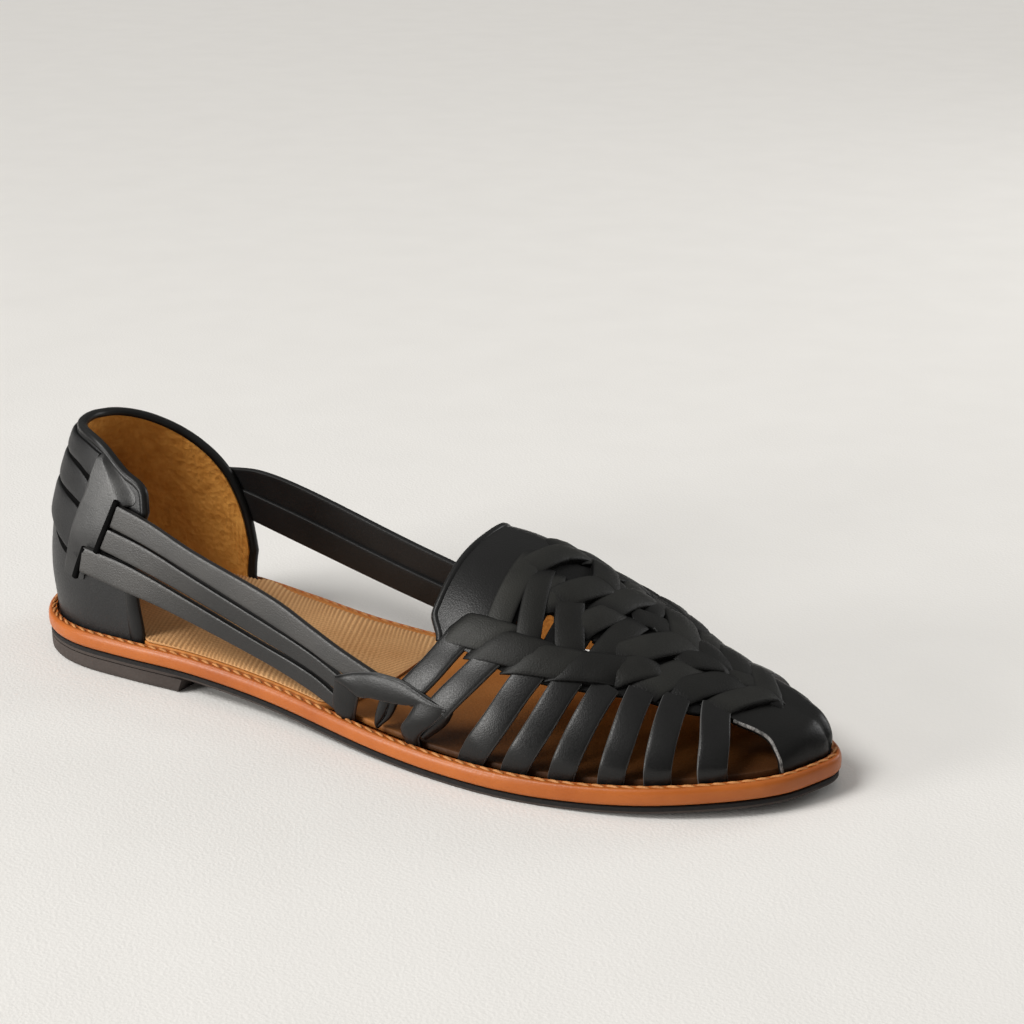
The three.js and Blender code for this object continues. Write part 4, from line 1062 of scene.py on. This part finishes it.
def laid_strip(x, way, widths, thickness, sink, section=None, crown=0.25, shear=0.0):
    """A strip that hugs the last, and its edge measure. Its section's width follows the last's surface,
    its height the outward direction, and its face is crowned. Stations x and ways describe the middle
    line; shear slants the ends."""
    section = strap_section() if section is None else section
    step = 0.01
    base, _ = last(x, way)
    run = runs_of(base)
    along_x = (last_face(x + 1, way) - last_face(x - 1, way)) / 2
    along_way = (last_face(x, way + step) - last_face(x, way - step)) / (2 * step)
    _, out = last(x, way)
    side = np.cross(out, run)
    side /= np.linalg.norm(side, axis=1, keepdims=True)
    xx = np.sum(along_x * along_x, 1)
    ww = np.sum(along_way * along_way, 1)
    xw = np.sum(along_x * along_way, 1)
    sx = np.sum(side * along_x, 1)
    sw = np.sum(side * along_way, 1)
    det = xx * ww - xw * xw
    step_x = (sx * ww - sw * xw) / det
    step_way = (sw * xx - sx * xw) / det
    offset = section[None, :, 0] * np.broadcast_to(widths, x.shape)[:, None]
    pace = np.linalg.norm(np.gradient(base, axis=0), axis=1)
    step_x = step_x + shear * np.gradient(x) / pace
    step_way = step_way + shear * np.gradient(way) / pace
    heights = np.broadcast_to(thickness, x.shape)[:, None]
    lift = np.broadcast_to(sink, x.shape)[:, None] + section[None, :, 1] * heights
    lift = lift + crown * section[None, :, 1] * (1 - 4 * section[None, :, 0] ** 2)
    points, _ = last(x[:, None] + step_x[:, None] * offset, way[:, None] + step_way[:, None] * offset, lift)
    mesh = points.reshape(-1, 3), tube_faces(*points.shape[:2])
    return mesh, edge_measure(section, len(x))


def tile_strip(row, side, longer=0.16, shear=0.35):
    """A stretch of strip, a little longer than it shows: arched in its middle, its ends tucked away.
    Its edge measure also rises towards the ends, so that painted shade darkens them where they tuck under."""
    from_x, start, to_x, end, width, lift = row
    t = np.linspace(-longer, 1 + longer, STRIP_STEPS)
    x = from_x + (to_x - from_x) * t
    way = side * (start + (end - start) * t)
    from_middle = np.abs(np.linspace(-1, 1, STRIP_STEPS))
    heights = 0.7 + (lift + 0.3) * (1 - from_middle**3.5)
    mesh, edge = laid_strip(x, way, width * 1.02, heights, -0.8, SQUARE_SECTION, 0.6, shear * side)
    tucked = smooth(0.55, 1, from_middle)
    return mesh, np.maximum(edge, np.repeat(0.78 + 0.22 * tucked, len(SQUARE_SECTION)))


# Painted shade: the stretches' rims and tucked ends are darkened to near black, as in the crevices between
# them.
weave_leather = edge_shade_and_highlight_leather(
    "weave leather", (0.012, 0.012, 0.0105), (0.024, 0.024, 0.021), grey(0.002), 0.5, 0.28, 0.2, 0.78
)
weave = [tile_strip(row, side) for side in (-1, 1) for row in TILES]
weave += [tile_strip(row, side, 0.12, -0.7) for side in (-1, 1) for row in BRAID]
weave += [tile_strip(row, -1) for row in RIDGE_TILES]
tint = np.concatenate([np.full(len(edge), (0.618 * k) % 1) for k, (_, edge) in enumerate(weave)])
shade_by("tint", weave_leather, grey(0.26))
add_straps("weave", weave, weave_leather, tint=tint)


# Side strips. Flat black strips that rise from the sole on each side of the forefoot and
# turn in under the braid; golden light shows between them. A row gives a strip's station
# and way at its top, its middle and its foot, and its width.
SIDE_STRIPS = [
    (181.5, 0.53, 175.5, 0.79, 168, 1, 7.6),
    (190.5, 0.5, 187, 0.755, 181, 1, 7.2),
    (199.5, 0.46, 197, 0.75, 194, 1, 7.0),
    (207.5, 0.41, 208, 0.71, 207, 1, 7.0),
    (215.8, 0.35, 217.5, 0.66, 218.5, 1, 7.2),
    (225, 0.29, 229, 0.6, 231, 1, 7.8),
]
SHORT_STRIPS = [
    (159.5, 0.55, 153.5, 0.7, 146.5, 0.83, 7.4),
    (170.5, 0.55, 165, 0.69, 158, 0.83, 7.0),
]
SIDE_SECTION = strap_section(36, 8)
INNER_REAR_STRIPS = [
    (159.5, 0.55, 152, 0.79, 145.5, 1, 7.4),
    (170.5, 0.55, 163.5, 0.79, 156.5, 1, 7.0),
]


def three_way(row, side, share):
    """Stations and ways of a strip's middle line, a smooth curve through its top, middle and foot."""
    top_x, top, middle_x, middle, foot_x, foot, _ = row
    rows = {"share": [0, 0.5, 1], "x": [top_x, middle_x, foot_x], "way": [top, middle, foot]}
    return read(rows, "share", "x", share), side * read(rows, "share", "way", share)


def side_strip(row, side):
    """A strip from under the braid down past the welt's top, sinking in at its foot."""
    foot, width = row[-2:]
    x, way = three_way(row, side, np.linspace(0, 1, STRIP_STEPS))
    x = np.append(x, x[-1])
    way = np.append(way, side * (foot + 0.06))
    t = np.linspace(0, 1, len(x))
    sink = -STRIP + 0.9 * (1 - smooth(0.75, 1, t))
    return laid_strip(x, way, width, STRIP, sink, SIDE_SECTION)


def short_strip(row):
    """One of the outer side's two rear strips, which end under the keeper."""
    share = np.linspace(0, 1, 31)
    x, way = three_way(row, -1, share)
    return laid_strip(x, way, row[-1], STRIP, -1.0 + 0.6 * share, SIDE_SECTION)


# The strips' and keepers' cut edges are lightened: partly the raw edge's own light tone, partly painted
# highlight.
strip_leather = edge_shade_and_highlight_leather(
    "side strip leather", grey(0.004), grey(0.008), grey(0.10), 0.34, 0.32, 0.09, 0.93
)
strips = [side_strip(row, side) for side in (-1, 1) for row in SIDE_STRIPS]
strips += [short_strip(row) for row in SHORT_STRIPS]
strips += [side_strip(row, 1) for row in INNER_REAR_STRIPS]
add_straps("side_strips", strips, strip_leather)


# Instep band. A broad strap of smooth black leather over the instep, its rear edge bound
# with a narrow rolled strip.
BAND_X = 149.5
BAND_FRONT = 166.5
BAND_WAY = 0.6
BAND_COLUMNS = 121


def band_rear(way):
    """Station of the band's rear edge: furthest forward at its middle and at its ends."""
    size = np.abs(way)
    return BAND_X + 4 * smooth(0.5, 0.6, size) + 1.4 * (1 - smooth(0, 0.3, size))


def band_grid(lift):
    """One face of the band, from its rear edge to its straight front edge."""
    way = np.linspace(-BAND_WAY, BAND_WAY, BAND_COLUMNS)[None, :]
    u = np.linspace(0, 1, 31)[:, None]
    x = band_rear(way) + (BAND_FRONT - band_rear(way)) * u
    return last(x, way + 0 * x, lift)[0]


def cord(points, outs, width, height, count):
    """A round section of so many points carried along a row of points."""
    sides, outs = frames(points, outs)
    size = np.ones(len(points))
    return loft(points, sides, outs, width * size, height * size, round_section(count))


def band_binding():
    """A rolled cord over the band's rear edge."""
    way = np.linspace(-BAND_WAY, BAND_WAY, BAND_COLUMNS)
    points, outs = last(band_rear(way), way, -0.5)
    return cord(points, outs, 2.6, 3.2, 14)


band_material = leather("instep band leather", grey(0.004), grey(0.007), 0.36, 2200, 0.13, 70, 0.32)
new_piece("instep_band", [closed_sheet(band_grid(0.5), band_grid(-1.7))], band_material, 60)
new_piece("instep_binding", [band_binding()], binding_leather, 60)


# Toe cap. One piece of smooth black leather moulded over the toe, cut back in a crescent
# on each side; the raw cut edge shows as a thin light line.
CAP_EDGE = {
    "way": [0, 0.2, 0.32, 0.36, 0.385, 0.44, 0.56, 0.77, 1],
    "x": [235, 233, 229.5, 230.4, 235.6, 239.4, 241.9, 244, 244.8],
}
CAP_END = 251.3


def cap_grid(lift):
    """One face of the cap, from its cut rear edge to the tip of the toe."""
    way = np.linspace(-1.08, 1.08, 161)[None, :]
    u = np.linspace(0, 1, 61)[:, None]
    rear = read(CAP_EDGE, "way", "x", np.minimum(np.abs(way), 1))
    x = rear + (CAP_END - rear) * (1 - (1 - u) ** 1.7)
    return last(x, way + 0 * x, lift)[0]


cap_leather = leather("toe cap leather", grey(0.004), (0.007, 0.007, 0.0065), 0.38, 1600, 0.08, 60, 0.24)
new_piece("toe_cap", [closed_sheet(cap_grid(0.2), cap_grid(-1.6))], cap_leather, 60)


# Cut edge. The raw edge of the cap along both crescents, scuffed light, and the vamp lining
# of golden suede that lies inside the inner side's strips.
def cap_cut(side):
    """A fine cord along the cap's rear edge from the welt up to the last strip."""
    way = side * np.linspace(0.36, 1.0, 61)
    points, outs = last(read(CAP_EDGE, "way", "x", np.abs(way)) + 0.15, way, -0.25)
    return cord(points, outs, 0.8, 1.1, 10)


raw_edge = leather("raw cut edge", grey(0.02), (0.30, 0.29, 0.28), 0.7, 2500, 0.6, 700, 0.3)
new_piece("cap_edges", [cap_cut(-1), cap_cut(1)], raw_edge, 60)


def vamp_lining(lift):
    """One face of the vamp's lining."""
    x = np.linspace(150.5, 238, 89)[:, None]
    way = np.linspace(0.3, 0.93, 31)[None, :]
    return last(x, way + 0 * x, lift)[0]


vamp_suede = leather("vamp lining suede", (0.42, 0.165, 0.030), (0.56, 0.24, 0.050), 0.8, 900, 0.4, 60, 0.2)
vamp_sheet = closed_sheet(vamp_lining(-2.4), vamp_lining(-3.2))
new_piece("vamp_lining", [vamp_sheet], vamp_suede, 60)


# Keepers. On the outer side one strap is folded and knotted round the side straps, with a
# twisted tail; on the inner side a plain wrap holds them. A row gives the left and the right
# edge of a ribbon, x, y and z each.
KEEPER = {
    "fold": [
        [123, -38, 20.5, 131.2, -38.7, 18.5],
        [121.8, -37.6, 10.8, 128.6, -37.8, 8.9],
        [125.6, -36.6, 6.2, 128.6, -36.7, 6],
    ],
    "loop": [
        [123.6, -38.3, 20.7, 124.2, -38.3, 19.2],
        [126.1, -39, 21.9, 127.4, -39.3, 18.7],
        [130.7, -39, 23.6, 131.5, -39.9, 16.8],
        [136.4, -39.4, 24.8, 135.9, -40.4, 17.5],
        [141.4, -39.7, 24.9, 141.2, -40.8, 17.7],
        [146.2, -40.1, 24.6, 146.6, -41.2, 18.2],
        [150.4, -40.5, 23.5, 150.9, -41.4, 19],
        [155, -41, 22, 154.8, -41.7, 19.2],
        [160.8, -41.4, 20.6, 160.2, -41.6, 18.6],
    ],
    "end": [
        [151.2, -41.4, 20.4, 161.2, -41.7, 20.4],
        [148.6, -42.1, 15.5, 156.8, -42.5, 15.2],
        [146.2, -41.7, 11.4, 152.2, -41.9, 10.4],
        [147.6, -40.5, 6.2, 151.4, -40.5, 6],
    ],
    "curl": [
        [160.6, -41.4, 20, 161.9, -39.8, 18.2],
        [156.8, -41.6, 15, 159.4, -39.4, 14.2],
        [152.4, -41, 10.4, 153.6, -39.6, 9],
    ],
    "tail": [
        [138.4, -39.2, 18, 142, -39.4, 18.4],
        [137, -39.3, 13.4, 139.8, -39.4, 13],
        [136.2, -38.8, 10.4, 137.6, -38.7, 9.4],
        [136.5, -38.4, 8.7, 137.3, -38.4, 8.2],
    ],
    "twist": [
        [141.3, -38.8, 18, 144, -38.4, 18],
        [139.6, -38.7, 12.8, 141.4, -38.2, 12.4],
        [136.9, -38.4, 9.2, 137.7, -38.3, 8.7],
    ],
}
INNER_KEEPER = [[150, 29.4, 25.5], [150, 30.2, 19.5], [150.5, 30.0, 12.5], [151, 28.4, 5.4]]


RIBBON = 1.9
RIBBON_SWELL = 0.45


def through(rows, reach, at):
    """A smooth curve through rows of numbers that lie at the given reaches."""
    return np.stack([read({"at": reach, "value": column}, "at", "value", at) for column in rows.T], -1)


def keeper_turn(rows):
    """A ribbon between its left and right edges, a little swollen in its middle, and its edge measure."""
    rows = np.array(rows, float)
    edges = through(rows, np.arange(len(rows)) / (len(rows) - 1), np.linspace(0, 1, STRIP_STEPS))
    left, right = edges[:, :3], edges[:, 3:]
    section = strap_section(32, 5)
    across = section[:, 0] + 0.5
    face = left[:, None] + (right - left)[:, None] * across[None, :, None]
    run = np.gradient(face, axis=0)
    out = np.cross((right - left)[:, None], run)
    out /= np.linalg.norm(out, axis=-1, keepdims=True)
    out *= np.where(out[..., 1:2] > 0, -1, 1)
    swell = RIBBON_SWELL * 4 * across * (1 - across)
    lift = (section[:, 1] - 1) * RIBBON + swell * section[:, 1]
    points = face + out * lift[None, :, None]
    mesh = points.reshape(-1, 3), tube_faces(*points.shape[:2])
    return mesh, edge_measure(section, len(points))


def inner_keeper():
    """A plain wrap along a curve through its points, evenly spaced by chord length."""
    rows = np.array(INNER_KEEPER, float)
    reach = np.concatenate([[0], np.cumsum(np.linalg.norm(np.diff(rows, axis=0), axis=1))])
    path = through(rows, reach, np.linspace(0, reach[-1], 31))
    return strap(path, np.tile([0.0, 1.0, 0.2], (len(path), 1)), 8.0, 3.6, -2.4)


keepers = [keeper_turn(rows) for rows in KEEPER.values()] + [inner_keeper()]
add_straps("keepers", keepers, strip_leather)


# Floor and light. A seamless off-white paper floor with a fine tooth, lit by a soft sun from
# the upper left, a low lamp on the outer side and a faint one behind the toe, under a plain
# pale surround.
FLOOR_HALF = 6.0
floor_mesh = bpy.data.meshes.new("floor")
floor_corners = [(x * FLOOR_HALF, y * FLOOR_HALF, 0) for x, y in ((-1, -1), (1, -1), (1, 1), (-1, 1))]
floor_mesh.from_pydata(floor_corners, [], [(0, 1, 2, 3)])
floor = bpy.data.objects.new("floor", floor_mesh)
bpy.context.scene.collection.objects.link(floor)
paper = leather("floor paper", (0.84, 0.825, 0.80), (0.86, 0.845, 0.82), 0.9, 1100, 0.18, 30, 0.2)
floor_mesh.materials.append(paper)

AZIMUTH = np.radians(29.316)
ELEVATION = np.radians(19.53)
ROLL = np.radians(-0.305)
DISTANCE = 0.710004
TARGET = Vector((0.099708 - MIDDLE[0] / 1000, 0.103178 - MIDDLE[1] / 1000, 0.020))
toward = Vector((np.sin(AZIMUTH), -np.cos(AZIMUTH), 0))
to_camera = toward * np.cos(ELEVATION) + Vector((0, 0, np.sin(ELEVATION)))
level_right = Vector((np.cos(AZIMUTH), np.sin(AZIMUTH), 0))
level_up = to_camera.cross(level_right)


def add_lamp(name, place, size, power, colour, target):
    """A square soft lamp that faces its target on the shoe."""
    lamp = bpy.data.lights.new(name, "AREA")
    lamp.size = size
    lamp.energy = power
    lamp.color = colour
    holder = bpy.data.objects.new(name, lamp)
    holder.location = place
    holder.rotation_euler = (Vector(target) - Vector(place)).to_track_quat("-Z", "Y").to_euler()
    bpy.context.scene.collection.objects.link(holder)


key_lamp = bpy.data.lights.new("key lamp", "SUN")
key_lamp.angle = np.radians(24)
key_lamp.energy = 1.9
key_lamp.color = (1, 0.985, 0.96)
key_holder = bpy.data.objects.new("key lamp", key_lamp)
key_place = -level_right * 0.95 + toward * 0.4 + Vector((0, 0, 1.2))
key_holder.rotation_euler = (-key_place).to_track_quat("-Z", "Y").to_euler()
bpy.context.scene.collection.objects.link(key_holder)
add_lamp("side lamp", (-0.78, -1.15, 0.30), 0.5, 13.5, (1, 0.985, 0.955), (0.02, 0, 0.02))
rim_place = level_right * 1.0 - toward * 0.55 + Vector((0, 0, 0.4))
add_lamp("rim lamp", rim_place, 0.4, 2.2, (1, 1, 1), (0.1, 0, 0.02))
world = bpy.data.worlds.new("pale surround")
world.use_nodes = True
sky = world.node_tree.nodes
sky_place = sky.new("ShaderNodeTexCoord")
sky_height = sky.new("ShaderNodeSeparateXYZ")
sky_tone = sky.new("ShaderNodeValToRGB")
sky_tone.color_ramp.elements[0].position = 0.1
sky_tone.color_ramp.elements[0].color = (0.06, 0.06, 0.058, 1)
sky_tone.color_ramp.elements[1].position = 0.9
sky_tone.color_ramp.elements[1].color = (0.44, 0.433, 0.42, 1)
world.node_tree.links.new(sky_place.outputs["Generated"], sky_height.inputs["Vector"])
world.node_tree.links.new(sky_height.outputs["Z"], sky_tone.inputs["Fac"])
world.node_tree.links.new(sky_tone.outputs["Color"], sky["Background"].inputs["Color"])
bpy.context.scene.world = world
bpy.context.scene.view_settings.view_transform = "Standard"


# Camera. A long lens from the outer side, a little ahead of the toe and above the shoe.
right = level_right * np.cos(ROLL) + level_up * np.sin(ROLL)
up = level_up * np.cos(ROLL) - level_right * np.sin(ROLL)
lens = bpy.data.cameras.new("camera")
lens.lens = 75.21
lens.sensor_width = 36
camera = bpy.data.objects.new("camera", lens)
turned = Matrix((right, up, to_camera)).transposed().to_4x4()
camera.matrix_world = Matrix.Translation(TARGET + to_camera * DISTANCE) @ turned
bpy.context.scene.collection.objects.link(camera)
bpy.context.scene.camera = camera

bpy.context.view_layer.update()
